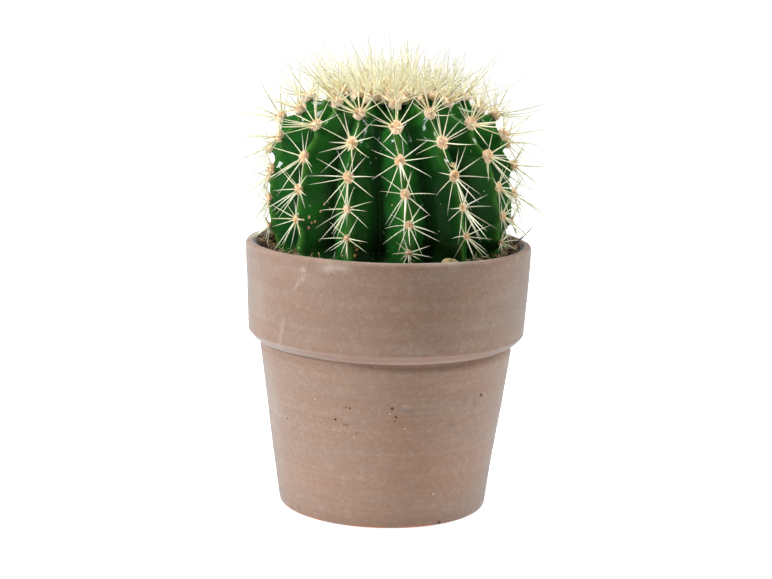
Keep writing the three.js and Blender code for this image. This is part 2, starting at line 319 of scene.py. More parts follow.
class Effect(Enum):
    """Node groups that several finishes place, each with its own values."""

    MOTTLE = "mottle"
    SPECKS = "specks"
    GRAIN = "grain"

    def tree(self) -> bpy.types.NodeTree:
        """The node group, made on its first use."""
        return bpy.data.node_groups.get(self.value) or getattr(self, "_" + self.value)()

    def on(self, wiring: Wiring, vector: bpy.types.NodeSocket, **values: float) -> bpy.types.NodeSocket:
        """Places the group in a tree and gives back its output.

        Args:
            wiring: the tree's wiring.
            vector: where the pattern is looked up.
            **values: what its named inputs get.

        Returns:
            The group's output.
        """
        return wiring.add("Group", {"Vector": vector, **values}, node_tree=self.tree()).outputs[0]

    def _start(self, output: str, **inputs: float) -> tuple[Wiring, bpy.types.Node, bpy.types.Node]:
        """An empty group with a Vector input, named number inputs and one output.

        Args:
            output: the output's name.
            **inputs: each number input and its default.

        Returns:
            The group's wiring, its input node and its output node.
        """
        tree = bpy.data.node_groups.new(self.value, "ShaderNodeTree")
        tree.interface.new_socket(name="Vector", in_out="INPUT", socket_type="NodeSocketVector")
        for name, value in inputs.items():
            socket = tree.interface.new_socket(name=name, in_out="INPUT", socket_type="NodeSocketFloat")
            socket.default_value = value
        tree.interface.new_socket(name=output, in_out="OUTPUT", socket_type="NodeSocketFloat")
        wiring = Wiring(tree)
        return wiring, tree.nodes.new("NodeGroupInput"), tree.nodes.new("NodeGroupOutput")

    def _mottle(self) -> bpy.types.NodeTree:
        """Soft patches: layered noise, 0 under Low and 1 over High."""
        wiring, given, result = self._start("Mask", Scale=40, Detail=4, Low=0.45, High=0.6)
        noise = wiring.add("TexNoise", {
            "Vector": given.outputs["Vector"], "Scale": given.outputs["Scale"],
            "Detail": given.outputs["Detail"], "Roughness": 0.6})
        mask = wiring.add("MapRange", {
            "Value": noise.outputs["Fac"], "From Min": given.outputs["Low"],
            "From Max": given.outputs["High"]}, interpolation_type="SMOOTHSTEP")
        wiring.tree.links.new(mask.outputs[0], result.inputs[0])
        return wiring.tree

    def _specks(self) -> bpy.types.NodeTree:
        """Scattered spots: the cells of a Voronoi pattern whose random value is under Share, out to Size."""
        wiring, given, result = self._start("Mask", Scale=300, Size=0.3, Share=0.2)
        cells = wiring.add("TexVoronoi", {"Vector": given.outputs["Vector"], "Scale": given.outputs["Scale"]})
        inner = wiring.calc("MULTIPLY", given.outputs["Size"], 0.5)
        spot = wiring.add("MapRange", {
            "Value": cells.outputs["Distance"], "From Min": given.outputs["Size"], "From Max": inner},
            interpolation_type="SMOOTHSTEP")
        luck = wiring.add("SeparateColor", {0: cells.outputs["Color"]}).outputs[0]
        chosen = wiring.calc("LESS_THAN", luck, given.outputs["Share"])
        wiring.tree.links.new(wiring.calc("MULTIPLY", spot.outputs[0], chosen), result.inputs[0])
        return wiring.tree

    def _grain(self) -> bpy.types.NodeTree:
        """Surface grain: fine noise on coarse noise, weighed by Fineness."""
        wiring, given, result = self._start("Height", Scale=900, Fineness=0.5)
        heights = []
        for factor in (1.0, 0.22):
            scale = wiring.calc("MULTIPLY", given.outputs["Scale"], factor)
            heights.append(wiring.add("TexNoise", {
                "Vector": given.outputs["Vector"], "Scale": scale, "Detail": 3}).outputs["Fac"])
        blended = wiring.add("Mix", {0: given.outputs["Fineness"], 2: heights[1], 3: heights[0]})
        wiring.tree.links.new(blended.outputs[0], result.inputs[0])
        return wiring.tree


class Finish:
    """What every finish does: starts a material with its shader, and ends it."""

    title = "finish"

    def begin(self) -> Wiring:
        """A new material's wiring."""
        return Wiring.afresh(bpy.data.materials.new(self.title))

    def end(self, wiring: Wiring, values: dict, height: bpy.types.NodeSocket | None = None,
            relief: float = 0.0002, strength: float = 1.0) -> bpy.types.Material:
        """Adds the shader, the bump and the output.

        Args:
            wiring: the material's wiring.
            values: what the shader's inputs get.
            height: the bump's height, from 0 to 1.
            relief: how deep the bump is, in metres.
            strength: how strongly it shows.

        Returns:
            The material.
        """
        if height is not None:
            bump = wiring.add("Bump", {"Strength": strength, "Distance": relief, "Height": height})
            values = {**values, "Normal": bump.outputs["Normal"]}
        shader = wiring.add("BsdfPrincipled", values)
        wiring.add("OutputMaterial", {"Surface": shader.outputs[0]})
        return bpy.data.materials[self.title]


@dataclass(frozen=True)
class Clay(Finish):
    """Unglazed, weathered clay: grey-brown under a dusty bloom, with turning lines, stains, chipped edges, a
    reddish foot edge and painted shade under the collar and inside the lip.
    """

    title: str = "weathered_clay"
    plain: Colour = (0.286, 0.176, 0.119)
    warm: Colour = (0.306, 0.171, 0.107)
    grey: Colour = (0.275, 0.193, 0.145)
    bloom: Colour = (0.49, 0.39, 0.32)
    stain: Colour = (0.15, 0.115, 0.1)
    damp: Colour = (0.1, 0.07, 0.05)
    raw: Colour = (0.46, 0.16, 0.07)

    def material(self) -> bpy.types.Material:
        """Builds the material."""
        wiring = self.begin()
        place = wiring.place()
        banded = wiring.stretched(place, (1, 1, 3))
        tint = Effect.MOTTLE.on(wiring, place, Scale=13, Low=0.35, High=0.7)
        colour = wiring.laid(self.plain, self.warm, tint, 0.8)
        tint = Effect.MOTTLE.on(wiring, banded, Scale=17, Low=0.42, High=0.72)
        colour = wiring.laid(colour, self.grey, tint, 0.7)
        pale = Effect.MOTTLE.on(wiring, banded, Scale=24, Low=0.55, High=0.8)
        colour = wiring.laid(colour, self.bloom, pale, 0.2)
        broken = Effect.MOTTLE.on(wiring, place, Scale=260, Low=0.3, High=0.62)
        broken = wiring.calc("ADD", wiring.calc("MULTIPLY", broken, 0.6), 0.4)
        colour = wiring.laid(colour, self.bloom, wiring.carried("bloomed"), broken)
        turned = wiring.stretched(place, (6, 6, 300))
        lines = Effect.MOTTLE.on(wiring, turned, Scale=1, Detail=5, Low=0.35, High=0.72)
        colour = wiring.laid(colour, self.bloom, lines, 0.09)
        fine = Effect.MOTTLE.on(wiring, place, Scale=650, Low=0.38, High=0.62)
        colour = wiring.laid(colour, self.stain, fine, 0.22)
        dust = Effect.MOTTLE.on(wiring, place, Scale=330, Low=0.45, High=0.7)
        colour = wiring.laid(colour, self.bloom, dust, 0.15)
        white = Effect.SPECKS.on(wiring, place, Scale=400, Size=0.24, Share=0.06)
        colour = wiring.laid(colour, self.bloom, white, 0.4)
        dark = Effect.SPECKS.on(wiring, place, Scale=290, Size=0.2, Share=0.035)
        colour = wiring.laid(colour, self.stain, dark, 0.5)
        # Painted shade: the stain mask also darkens the chamfer under the collar, and the raw-clay mask warms
        # it.
        colour = wiring.mix(wiring.carried("stained"), colour, self.stain)
        colour = wiring.mix(wiring.carried("worn"), colour, self.raw)
        # Painted shade on the inside wall below the lip.
        colour = wiring.mix(wiring.carried("damp"), colour, self.damp)
        grain = Effect.GRAIN.on(wiring, place, Scale=1600, Fineness=0.55)
        height = wiring.calc("ADD", wiring.calc("MULTIPLY", grain, 0.7), wiring.calc("MULTIPLY", lines, 0.12))
        height = wiring.calc("SUBTRACT", height, wiring.calc("MULTIPLY", dark, 0.6))
        return self.end(wiring, {"Base Color": colour, "Roughness": 0.88, "Specular IOR Level": 0.3,
                                 "Sheen Weight": 0.46, "Sheen Roughness": 0.45,
                                 "Sheen Tint": (0.76, 0.92, 1, 1)},
                        height, relief=0.0002, strength=0.55)


@dataclass(frozen=True)
class Skin(Finish):
    """Glossy cactus skin: dark green with paler crests, faint blotches, tiny pale dots and painted shade in the
    grooves.
    """

    title: str = "cactus_skin"
    groove_shade: Colour = (0.012, 0.048, 0.012)
    flank: Colour = (0.009, 0.068, 0.011)
    fresh: Colour = (0.019, 0.118, 0.014)
    crest: Colour = (0.06, 0.19, 0.026)
    dot: Colour = (0.42, 0.55, 0.36)
    cork: Colour = (0.2, 0.12, 0.05)

    def material(self) -> bpy.types.Material:
        """Builds the material."""
        wiring = self.begin()
        place = wiring.place()
        colour = wiring.mix(Effect.MOTTLE.on(wiring, place, Scale=45, Low=0.35, High=0.7),
                            self.flank, self.fresh)
        # Painted shade: the flanks darken to near-black green towards the grooves between ribs.
        colour = wiring.mix(wiring.share(wiring.carried("hollow"), 0.5, 0.95), colour, self.groove_shade)
        wander = Effect.MOTTLE.on(wiring, place, Scale=120, Low=0.3, High=0.7)
        edge = wiring.calc("MULTIPLY", wiring.share(wiring.carried("ridge"), 0.72, 0.97),
                           wiring.calc("ADD", wiring.calc("MULTIPLY", wander, 0.5), 0.45))
        colour = wiring.mix(edge, colour, self.crest)
        corky = wiring.calc("MULTIPLY", wiring.carried("old"),
                            Effect.MOTTLE.on(wiring, place, Scale=140, Low=0.6, High=0.7))
        colour = wiring.mix(corky, colour, self.cork)
        dots = Effect.SPECKS.on(wiring, place, Scale=400, Size=0.2, Share=0.08)
        colour = wiring.laid(colour, self.dot, dots, 0.8)
        rough = wiring.add("MapRange", {"Value": wander, "To Min": 0.07, "To Max": 0.12}).outputs[0]
        grain = Effect.GRAIN.on(wiring, place, Scale=420, Fineness=0.35)
        height = wiring.calc("ADD", grain, wiring.calc("MULTIPLY", dots, 0.6))
        return self.end(wiring, {"Base Color": colour, "Roughness": rough, "Specular IOR Level": 0.18},
                        height, relief=0.00007, strength=0.35)


@dataclass(frozen=True)
class Spine(Finish):
    """Spines: brownish root, ivory shaft and greyer tip, each a little different; the young ones are gold."""

    title: str = "spine_ivory"
    root: Colour = (0.88, 0.55, 0.28)
    shaft: Colour = (0.85, 0.84, 0.54)
    pale: Colour = (0.93, 0.925, 0.75)
    tip: Colour = (0.5, 0.46, 0.42)
    gold: Colour = (1.0, 0.85, 0.43)

    def material(self) -> bpy.types.Material:
        """Builds the material."""
        wiring = self.begin()
        place = wiring.place()
        along, tone, young = (wiring.carried(name) for name in ("along", "tone", "young"))
        colour = wiring.mix(tone, self.shaft, self.pale)
        colour = wiring.laid(colour, self.gold, young, wiring.share(along, 0.8, 0.1))
        colour = wiring.laid(colour, self.root, wiring.share(along, 0.1, 0.0), 0.7)
        colour = wiring.laid(colour, self.tip, wiring.share(along, 0.65, 1.0), 0.6)
        streak = Effect.MOTTLE.on(wiring, place, Scale=700, Low=0.35, High=0.65)
        colour = wiring.laid(colour, self.root, streak, 0.05)
        return self.end(wiring, {"Base Color": colour, "Roughness": 0.42, "Specular IOR Level": 0.4},
                        streak, relief=0.00006, strength=0.5)


@dataclass(frozen=True)
class Felt(Finish):
    """Areole felt and crown wool: peach, browner in old middles and creamier where it is young."""

    title: str = "areole_felt"
    peach: Colour = (1.0, 0.65, 0.36)
    cream: Colour = (1.0, 0.8, 0.58)
    brown: Colour = (0.88, 0.38, 0.1)

    def material(self) -> bpy.types.Material:
        """Builds the material."""
        wiring = self.begin()
        place = wiring.place()
        tuft = Effect.MOTTLE.on(wiring, place, Scale=620, Low=0.38, High=0.62)
        colour = wiring.mix(wiring.carried("young"), self.peach, self.cream)
        colour = wiring.laid(colour, self.cream, tuft, 0.5)
        colour = wiring.mix(wiring.carried("core"), colour, self.brown)
        flecks = Effect.SPECKS.on(wiring, place, Scale=850, Size=0.5, Share=0.3)
        colour = wiring.laid(colour, self.brown, flecks, 0.5)
        grain = Effect.GRAIN.on(wiring, place, Scale=2600, Fineness=0.6)
        return self.end(wiring, {"Base Color": colour, "Roughness": 0.95, "Specular IOR Level": 0.1,
                                 "Sheen Weight": 0.35, "Sheen Roughness": 0.5},
                        grain, relief=0.0004, strength=0.9)


@dataclass(frozen=True)
class Earth(Finish):
    """Peaty potting soil: near-black brown crumbs with paler grains."""

    title: str = "potting_soil"
    dark: Colour = (0.016, 0.011, 0.008)
    brown: Colour = (0.07, 0.042, 0.024)
    grain: Colour = (0.22, 0.16, 0.1)

    def material(self) -> bpy.types.Material:
        """Builds the material."""
        wiring = self.begin()
        place = wiring.place()
        crumbs = Effect.MOTTLE.on(wiring, place, Scale=260, Low=0.38, High=0.62)
        colour = wiring.mix(crumbs, self.dark, self.brown)
        pale = Effect.SPECKS.on(wiring, place, Scale=480, Size=0.34, Share=0.14)
        colour = wiring.laid(colour, self.grain, pale, 0.7)
        grain = Effect.GRAIN.on(wiring, place, Scale=1400, Fineness=0.45)
        return self.end(wiring, {"Base Color": colour, "Roughness": 0.97, "Specular IOR Level": 0.15},
                        grain, relief=0.0012, strength=1.0)


@dataclass(frozen=True)
class Dry(Finish):
    """Dry plant matter, such as straw, bark, husk and cork: two tones streaked by fine noise."""

    title: str = "dry"
    dark: Colour = (0.2, 0.12, 0.06)
    light: Colour = (0.5, 0.36, 0.2)
    streaks: Point = (1, 1, 1)
    scale: float = 500
    roughness: float = 0.85

    def material(self) -> bpy.types.Material:
        """Builds the material."""
        wiring = self.begin()
        place = wiring.stretched(wiring.place(), self.streaks)
        streak = Effect.MOTTLE.on(wiring, place, Scale=self.scale, Low=0.36, High=0.64)
        colour = wiring.mix(streak, self.dark, self.light)
        shade = wiring.share(wiring.carried("tone"), 0.0, 1.0)
        colour = wiring.laid(colour, self.dark, shade, 0.6)
        return self.end(wiring, {"Base Color": colour, "Roughness": self.roughness, "Specular IOR Level": 0.3},
                        streak, relief=0.0002, strength=0.8)


# ---- clay pot ----
@dataclass(frozen=True)
class ClayPot:
    """The turned clay pot: a tapered wall under a thick collar, with a rounded lip and a drain hole."""

    height: float = 140.7
    rim: float = 75.0
    collar_height: float = 52.0
    collar_taper: float = 2.1
    chamfer: float = 4.4
    edge_round: float = 0.9
    shoulder: float = 67.4
    foot: float = 54.9
    foot_round: float = 1.6
    lip: float = 4.8
    wall: float = 5.4
    floor: float = 7.0
    floor_round: float = 6.0
    drain: float = 9.0
    undercut: tuple[tuple[float, float], ...] = (
        (-0.85, -4.4), (-1.4, -2.6), (-2.1, -0.8), (-1.8, 0.1), (0.2, 0.2), (2.9, 1.9))
    inner_levels: tuple[float, ...] = (134, 126, 118, 110, 100, 92, 80, 50, 18)
    seen_depth: float = 12.0
    sides: int = 400
    spacing: float = 1.05
    hidden_spacing: float = 4.0
    stains: Patches = (
        (9.5, 64.5, 1.6, 1.1, 0.5), (39.5, 67.0, 1.3, 2.6, 0.4), (46.0, 65.0, 1.1, 3.4, 0.5),
        (33.5, 55.5, 1.5, 2.4, 0.4), (12.5, 64.0, 1.2, 1.6, 0.4), (160.0, 60.0, 5.0, 9.0, 0.3),
        (-140.0, 44.0, 4.0, 6.0, 0.35), (100.0, 20.0, 6.0, 8.0, 0.25), (-95.0, 70.0, 3.0, 6.0, 0.25),
        (205.0, 118.0, 6.0, 5.0, 0.25))
    blooms: Patches = (
        (-23.0, 137.0, 5.0, 2.4, 0.8), (-17.0, 137.5, 4.0, 2.2, 0.7), (26.0, 138.5, 3.0, 2.5, 0.35),
        (-34.0, 134.6, 1.3, 1.5, 1.1), (-33.4, 131.2, 0.8, 0.9, 0.95), (-34.4, 129.9, 0.7, 1.0, 0.9),
        (-35.6, 128.4, 0.7, 1.1, 0.9), (-36.8, 126.8, 0.7, 1.1, 0.8), (-38.0, 125.0, 0.7, 1.2, 0.7),
        (-39.2, 123.3, 0.6, 1.0, 0.5), (-44.6, 106.0, 0.7, 2.6, 0.6), (-45.6, 102.0, 0.7, 3.0, 0.7),
        (-46.8, 97.5, 0.7, 3.0, 0.7), (-48.1, 92.9, 0.7, 2.6, 0.6), (61.7, 138.6, 1.1, 1.0, 0.8),
        (-62.0, 112.0, 9.0, 14.0, 0.2), (-70.0, 60.0, 8.0, 18.0, 0.22), (40.0, 108.0, 14.0, 3.0, 0.12),
        (52.0, 122.0, 12.0, 4.0, 0.12), (-8.0, 95.0, 5.0, 3.0, 0.12), (9.5, 66.0, 2.6, 1.2, 0.35),
        (150.0, 110.0, 16.0, 8.0, 0.35), (-150.0, 128.0, 12.0, 5.0, 0.35), (120.0, 76.0, 10.0, 16.0, 0.25),
        (-115.0, 30.0, 12.0, 10.0, 0.3))

    @staticmethod
    def patches(marks: Patches, radius: Array, azimuth: Array, height: Array) -> Array:
        """How strongly soft patches show: each falls off as a bell curve round its azimuth and height.

        Args:
            marks: azimuth in degrees, height, half width, half height and strength of each patch.
            radius: radii of the points.
            azimuth: their azimuths.
            height: their heights.

        Returns:
            A share from 0 to 1 for each point.
        """
        shown = 0 * (azimuth + height)
        for turn, level, wide, tall, strength in marks:
            off = (azimuth - math.radians(turn) + math.pi) % TAU - math.pi
            shown = shown + strength * np.exp(-((off * radius / wide) ** 2) - ((height - level) / tall) ** 2)
        return np.clip(shown, 0, 1) * (radius > 50)

    @property
    def collar_low(self) -> float:
        """Height of the collar's lower edge."""
        return self.height - self.collar_height

    def inside(self, height: Array) -> Array:
        """Radius of the inside at a height: straight to the collar, and a root curve from there to the lip."""
        throat = self.shoulder - self.wall
        below = (height - self.floor) / (self.collar_low - self.floor)
        above = np.clip((height - self.collar_low) / self.collar_height, 0, 1)
        return np.where(height <= self.collar_low, blend(self.foot - self.wall, throat, below),
                        blend(throat, self.rim - self.lip, np.sqrt(above)))

    def outer(self, height: Array) -> Array:
        """Radius of the outside: straight from foot to shoulder, and from the collar's edge to the lip."""
        lower = blend(self.foot, self.shoulder, height / self.collar_low)
        upper = blend(self.rim - self.collar_taper, self.rim, (height - self.collar_low) / self.collar_height)
        return np.where(height < self.collar_low, lower, upper)

    @staticmethod
    def _arc(radius: float, height: float, size: float, start: float, end: float, steps: int) -> Array:
        """Points on an arc about (radius, height), angles in degrees from outwards, anticlockwise."""
        turn = np.radians(np.linspace(start, end, steps))
        return np.stack([radius + size * np.cos(turn), height + size * np.sin(turn)], -1)

    def outline(self) -> Array:
        """The wall's closed section as (radius, height), evenly spaced: out, up, over the lip and back."""
        half = self.lip / 2
        edge = self.rim - self.collar_taper
        levels = np.array(self.inner_levels, float)
        corner = self.floor_round
        corners = np.concatenate([
            [[self.drain, self.floor], [self.drain, 0]],
            self._arc(self.foot - self.foot_round, self.foot_round, self.foot_round, -90, 0, 7),
            np.array([self.shoulder, self.collar_low]) + self.undercut,
            self._arc(edge - self.edge_round, self.collar_low + self.chamfer + self.edge_round, self.edge_round,
                      -48, 0, 4),
            self._arc(self.rim - half, self.height - half, half, 0, 180, 17),
            np.stack([self.inside(levels), levels], -1),
            self._arc(self.inside(np.array(self.floor)) - corner, self.floor + corner, corner, 0, -90, 6),
        ])
        corners = np.concatenate([corners, corners[:1]])
        runs = np.linalg.norm(np.diff(corners, axis=0), axis=1)
        within = corners[:, 0] < self.inside(corners[:, 1]) + 0.1
        hidden = within[:-1] & (corners[:-1, 1] < self.height - self.seen_depth)
        spacing = np.where(hidden, self.hidden_spacing, self.spacing)
        pieces = [np.linspace(a, b, max(int(run / gap), 1), endpoint=False)
                  for a, b, run, gap in zip(corners, corners[1:], runs, spacing)]
        return np.concatenate(pieces)

    def build(self, clay: Clay) -> bpy.types.Object:
        """Turns the outline about +Z, with throwing ridges and small chips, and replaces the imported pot.

        Args:
            clay: the pot's finish.

        Returns:
            The piece.
        """
        section = self.outline()
        radius, height = section[:, :1], section[:, 1:]
        azimuth = np.arange(self.sides)[None, :] * TAU / self.sides
        spot = around(radius, azimuth, height)
        outside = smoothstep(radius - self.inside(height), 2.5, 5.0)
        turning = 0.035 * np.sin(height * 1.7 + 1.3 * np.sin(azimuth)) \
            + 0.02 * np.sin(height * 4.1 + np.cos(azimuth))
        ridges = turning * smoothstep(height, 3, 9) * smoothstep(self.height - height, 3, 9) * outside
        uneven = 0.2 * waves(spot, 60, 3) + 0.04 * waves(spot, 16, 4)
        chips = smoothstep(waves(spot, 5, 5), 1.9, 2.6) * smoothstep(height, 4, 1) * outside
        bitten = smoothstep(waves(spot, 4, 6), 2.0, 2.8) * smoothstep(height, self.height - 4, self.height - 1)
        reach = radius + (ridges + uneven * outside) * (height > 0.4) - 0.9 * chips - 0.35 * bitten
        lift = 0.2 * waves(spot, 40, 7) * smoothstep(height, self.height - 20, self.height)
        # The foot's lower edge is tinted towards raw clay.
        foot_edge = smoothstep(height, 1.7, 0.7) * outside * smoothstep(waves(spot, 9, 8), -0.4, 0.6)
        over = height - self.collar_low
        # Painted shade: the chamfer band under the collar, darkened with the stain colour and warmed with raw
        # clay.
        bevel_shade = smoothstep(over, self.chamfer + 0.9, self.chamfer - 0.5) * smoothstep(over, -0.4, 0.4) * outside
        worn = np.maximum(0.75 * chips, 0.7 * foot_edge) + 0.12 * bevel_shade
        # Painted shade: the inside wall below the lip is darkened.
        damp = 0.9 * smoothstep(self.inside(height) - radius, -1.2, 0.4) \
            * smoothstep(height, self.height - 1, self.height - 3.5)
        shape = Gathered()
        shape.add(around(reach, azimuth, height + lift), [strip(len(section), self.sides, loop=True)],
                  worn=worn, damp=damp,
                  stained=self.patches(self.stains, radius, azimuth, height) + 0.38 * bevel_shade,
                  bloomed=self.patches(self.blooms, radius, azimuth, height))
        pot = shape.piece("turned_pot", clay.material())
        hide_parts("clay_pot")
        return pot


@dataclass(frozen=True)
class PotFlecks:
    """Burst pores and pale grit in the wall: flat specks that lie flush in the clay."""

    pot: ClayPot = ClayPot()
    pits: Spots = (
        (-53.1, 52.3, 0.7), (-22.9, 57.7, 0.8), (-17.3, 64.8, 0.7), (-15.7, 64.6, 0.8), (-17.1, 55.4, 0.6),
        (-18.6, 55.8, 0.7), (-12.6, 51.6, 0.7), (-13.5, 61.2, 0.5), (3.6, 65.4, 0.75), (5.4, 60.9, 0.8),
        (5.1, 58.8, 0.6), (50.1, 68.4, 0.8), (22.0, 55.9, 0.7), (33.0, 1.5, 0.8), (112.0, 58.0, 0.8),
        (131.0, 71.0, 0.6), (158.0, 40.0, 0.9), (-171.0, 63.0, 0.7), (-144.0, 22.0, 0.6), (-120.0, 55.0, 0.8))
    grit: Spots = (
        (-32.9, 66.9, 0.6), (-23.9, 52.1, 0.5), (27.2, 18.2, 0.8), (-52.8, 2.7, 0.7), (-29.9, 56.3, 0.5),
        (-28.9, 54.9, 0.5), (9.9, 54.9, 0.6), (-35.6, 135.1, 0.6), (2.7, 62.7, 0.5), (98.0, 34.0, 0.6),
        (125.0, 128.0, 0.7), (170.0, 80.0, 0.6), (-155.0, 112.0, 0.6), (-100.0, 74.0, 0.6))

    def flecks(self, name: str, spots: Spots, proud: float, finish: bpy.types.Material, seed: int) -> None:
        """Lays ragged flat lumps on the wall.

        Args:
            name: the piece's name.
            spots: azimuth in degrees, height and half width of each.
            proud: how thick a lump is, as a share of its width.
            finish: their material.
            seed: which random outlines they get.
        """
        rng = np.random.default_rng(seed)
        turn, height, size = np.array(spots).T
        turn = np.radians(turn)
        points, faces = ball(5, 10)
        ragged = points[None] * (1 + 0.22 * rng.normal(size=(len(size), len(points), 1)).clip(-1.5, 1.5))
        out = around(np.ones_like(turn), turn, np.zeros_like(turn))
        up = np.broadcast_to([0, 0, 1.0], out.shape)
        wide = rng.uniform(0.35, 1.0, (2, len(size), 1))
        axes = np.stack([np.cross(up, out) * wide[0], up * wide[1], out * proud], 1) * size[:, None, None]
        shape = Gathered()
        placed, placed_faces = copies(ragged, faces, axes, around(self.pot.outer(height) - 0.02, turn, height))
        shape.add(placed, placed_faces, tone=np.repeat(rng.uniform(0, 1, len(size)), len(points)))
        shape.piece(name, finish)

    def build(self) -> None:
        """Makes the pores and the grit."""
        dark = Dry("open_pores", (0.07, 0.042, 0.028), (0.16, 0.1, 0.07), scale=900).material()
        pale = Dry("pale_grit", (0.5, 0.4, 0.32), (0.72, 0.62, 0.52), scale=900).material()
        self.flecks("pot_pores", self.pits, 0.2, dark, 81)
        self.flecks("pot_grit", self.grit, 0.2, pale, 82)


# ---- ribbed stem ----
@dataclass(frozen=True)
class StemShape:
    """The ribbed body's surface, shared by every piece that sits on it.

    Its outline is a superellipse. Each rib's crest is notched between areoles, the grooves between ribs are
    V-shaped, and towards the top the ribs turn and crowd together.
    """

    ribs: int = 13
    first: float = math.radians(9)
    twist: float = math.radians(-7)
    bunch: float = math.radians(-15)
    wander_low: float = 150.0
    wander_high: float = 212.0
    radius: float = 64.5
    level: float = 172.0
    rise: float = 48.0
    drop: float = 75.0
    power: float = 2 / 3
    depth: float = 13.5
    soil: float = 133.6
    notch: float = 1.3
    drift: float = 0.13
    crest_round: float = 0.13
    crown: float = 31.0
    start: float = math.radians(-16.2)
    first_areole: float = 4.3
    areole_step: float = 13.6
    step_growth: float = 0.55
    lead: float = 7 / 13
    shoulder_growth: float = 2.2
    uneven_growth: float = 0.8
    chin: float = 1.1
    chin_phase: float = 0.86
    chin_length: float = 0.08
    chin_width: float = 0.25
    fold: float = 0.9
    lump: float = 0.4
    small_lump: float = 0.28

    def outline(self, angle: Array) -> tuple[Array, Array]:
        """Radius and height at an angle seen from the middle: a half width times cos or sin to a power."""
        half = np.where(angle < 0, self.drop, self.rise)
        height = self.level + half * np.sign(angle) * np.abs(np.sin(angle)) ** self.power
        return self.radius * np.abs(np.cos(angle)) ** self.power, height

    def angle_at(self, height: Array) -> Array:
        """The angle whose outline has a height."""
        lift = height - self.level
        half = np.where(lift < 0, self.drop, self.rise)
        return np.sign(lift) * np.arcsin(np.clip(np.abs(lift) / half, 0, 1) ** (1 / self.power))

    def climb(self, angle: Array) -> Array:
        """The outline's unit direction upwards at an angle, as its radius and height parts."""
        nudge = 1e-3
        ahead, behind = self.outline(angle + nudge), self.outline(angle - nudge)
        return unit(np.stack([ahead[0] - behind[0], ahead[1] - behind[1]], -1))

    def crest(self) -> tuple[Array, Array]:
        """Angles from the crest line's start to the growing point, and the distance along the line to each."""
        angle = np.linspace(self.start, math.pi / 2, 4001)
        radius, height = self.outline(angle)
        along = np.concatenate([[0], np.cumsum(np.hypot(np.diff(radius), np.diff(height)))])
        return angle, along

    def length_to(self, step: Array) -> Array:
        """Distance along the crest line to an areole step."""
        return self.first_areole + self.areole_step * step + self.step_growth * step**2

    def steps_along(self, angle: Array) -> Array:
        """How many areole steps up the crest line an angle is; each step is longer than the one under it."""
        angles, along = self.crest()
        gone = np.interp(angle, angles, along) + np.minimum(angle - self.start, 0) * self.radius
        half = self.areole_step / (2 * self.step_growth)
        return np.sqrt(np.maximum(half**2 + (gone - self.first_areole) / self.step_growth, 0)) - half

    def wandered(self, turn: Array, height: Array) -> Array:
        """The azimuth that a line over the ribs has reached at a height."""
        share = smoothstep(height, self.wander_low, self.wander_high)
        return turn + share * (self.twist + self.bunch * np.sin(turn - self.first))

    def surface(self, turn: Array, angle: Array) -> tuple[Array, dict[str, Array]]:
        """Points of the skin, and what its material needs to know there.

        A point is the outline's, moved in along the outline's normal by the groove, whose section is a
        hyperbola with a rounded crest and straight flanks, and by the notch, which is deepest midway between
        two areoles and fades down the flanks. Under each areole stands a small chin. Between areoles the crest
        also drifts a little sideways, and the flanks carry folds and lumps.

        Args:
            turn: azimuths over the soil.
            angle: angles on the outline.

        Returns:
            Points, and the values ridge, hollow and old.
        """
        turn, angle = np.broadcast_arrays(turn, angle)
        radius, height = self.outline(angle)
        climb, spot = self.climb(angle), around(radius, turn, height)
        ribs_round = (turn - self.first) / TAU * self.ribs
        rib = np.round(ribs_round)
        phase = (self.steps_along(angle) - (rib * self.lead) % 1) % 1
        between = 4 * phase * (1 - phase)
        offset = 2 * (ribs_round - rib)
        drift = self.drift * between * waves(spot, 30, 13) * (1 - np.abs(offset))
        across = np.clip(np.abs(offset + drift), 0, 1)
        top = smoothstep(radius, 4, self.radius * 0.62)
        sunk = smoothstep(height, self.soil - 14, self.soil + 8) * top
        bend = self.crest_round * (1.6 - between)
        groove = self.depth * sunk * (np.hypot(across, bend) - bend) / (np.hypot(1, bend) - bend)
        shoulder = smoothstep(height, self.level + 2, self.level + self.rise * 0.85)
        growth = 1 + self.shoulder_growth * shoulder + self.uneven_growth * waves(spot, 21, 12)
        fading = (1 - across) ** (1.3 - 0.6 * shoulder)
        notch = self.notch * np.maximum(growth, 0.2) * sunk * between**0.8 * fading
        bulge = np.exp(-(((phase - self.chin_phase) / self.chin_length) ** 2) - (across / self.chin_width) ** 2)
        chin = self.chin * sunk * bulge
        fold = self.fold * (1 + shoulder) * sunk * (between - 0.4) * across * (1 - across) * 4
        uneven = self.lump * waves(spot, 26, 11) + self.small_lump * waves(spot, 11, 14)
        rough = uneven * sunk * across * (1 - across) * 4 - fold
        inward = groove + notch - chin + rough
        azimuth = self.wandered(turn, height)
        reach = np.maximum(radius - inward * climb[..., 1], 0)
        points = around(reach, azimuth, height + inward * climb[..., 0])
        old = 0.8 * smoothstep(height, self.soil + 20, self.soil + 1) * across
        return points, {"ridge": (1 - across) * top, "hollow": across * sunk, "old": old}

    def areoles(self, rib: Array, step: Array) -> dict[str, Array]:
        """Where areoles sit: the crest line's point, and the directions sideways, up the rib and outwards.

        Args:
            rib: each areole's rib, from 0.
            step: how many areole steps up its crest line each one is.

        Returns:
            Arrays named at, side, up, out and radius.
        """
        angles, along = self.crest()
        angle = np.interp(self.length_to(step), along, angles)
        radius, height = self.outline(angle)
        climb = self.climb(angle)
        azimuth = self.wandered(self.first + TAU * rib / self.ribs, height)
        away = around(np.ones_like(azimuth), azimuth, np.zeros_like(azimuth))
        upward = np.array([0, 0, 1.0])
        up = away * climb[:, :1] + upward * climb[:, 1:]
        out = away * climb[:, 1:] - upward * climb[:, :1]
        return {"at": around(radius, azimuth, height), "side": np.cross(up, out), "up": up, "out": out,
                "radius": radius}

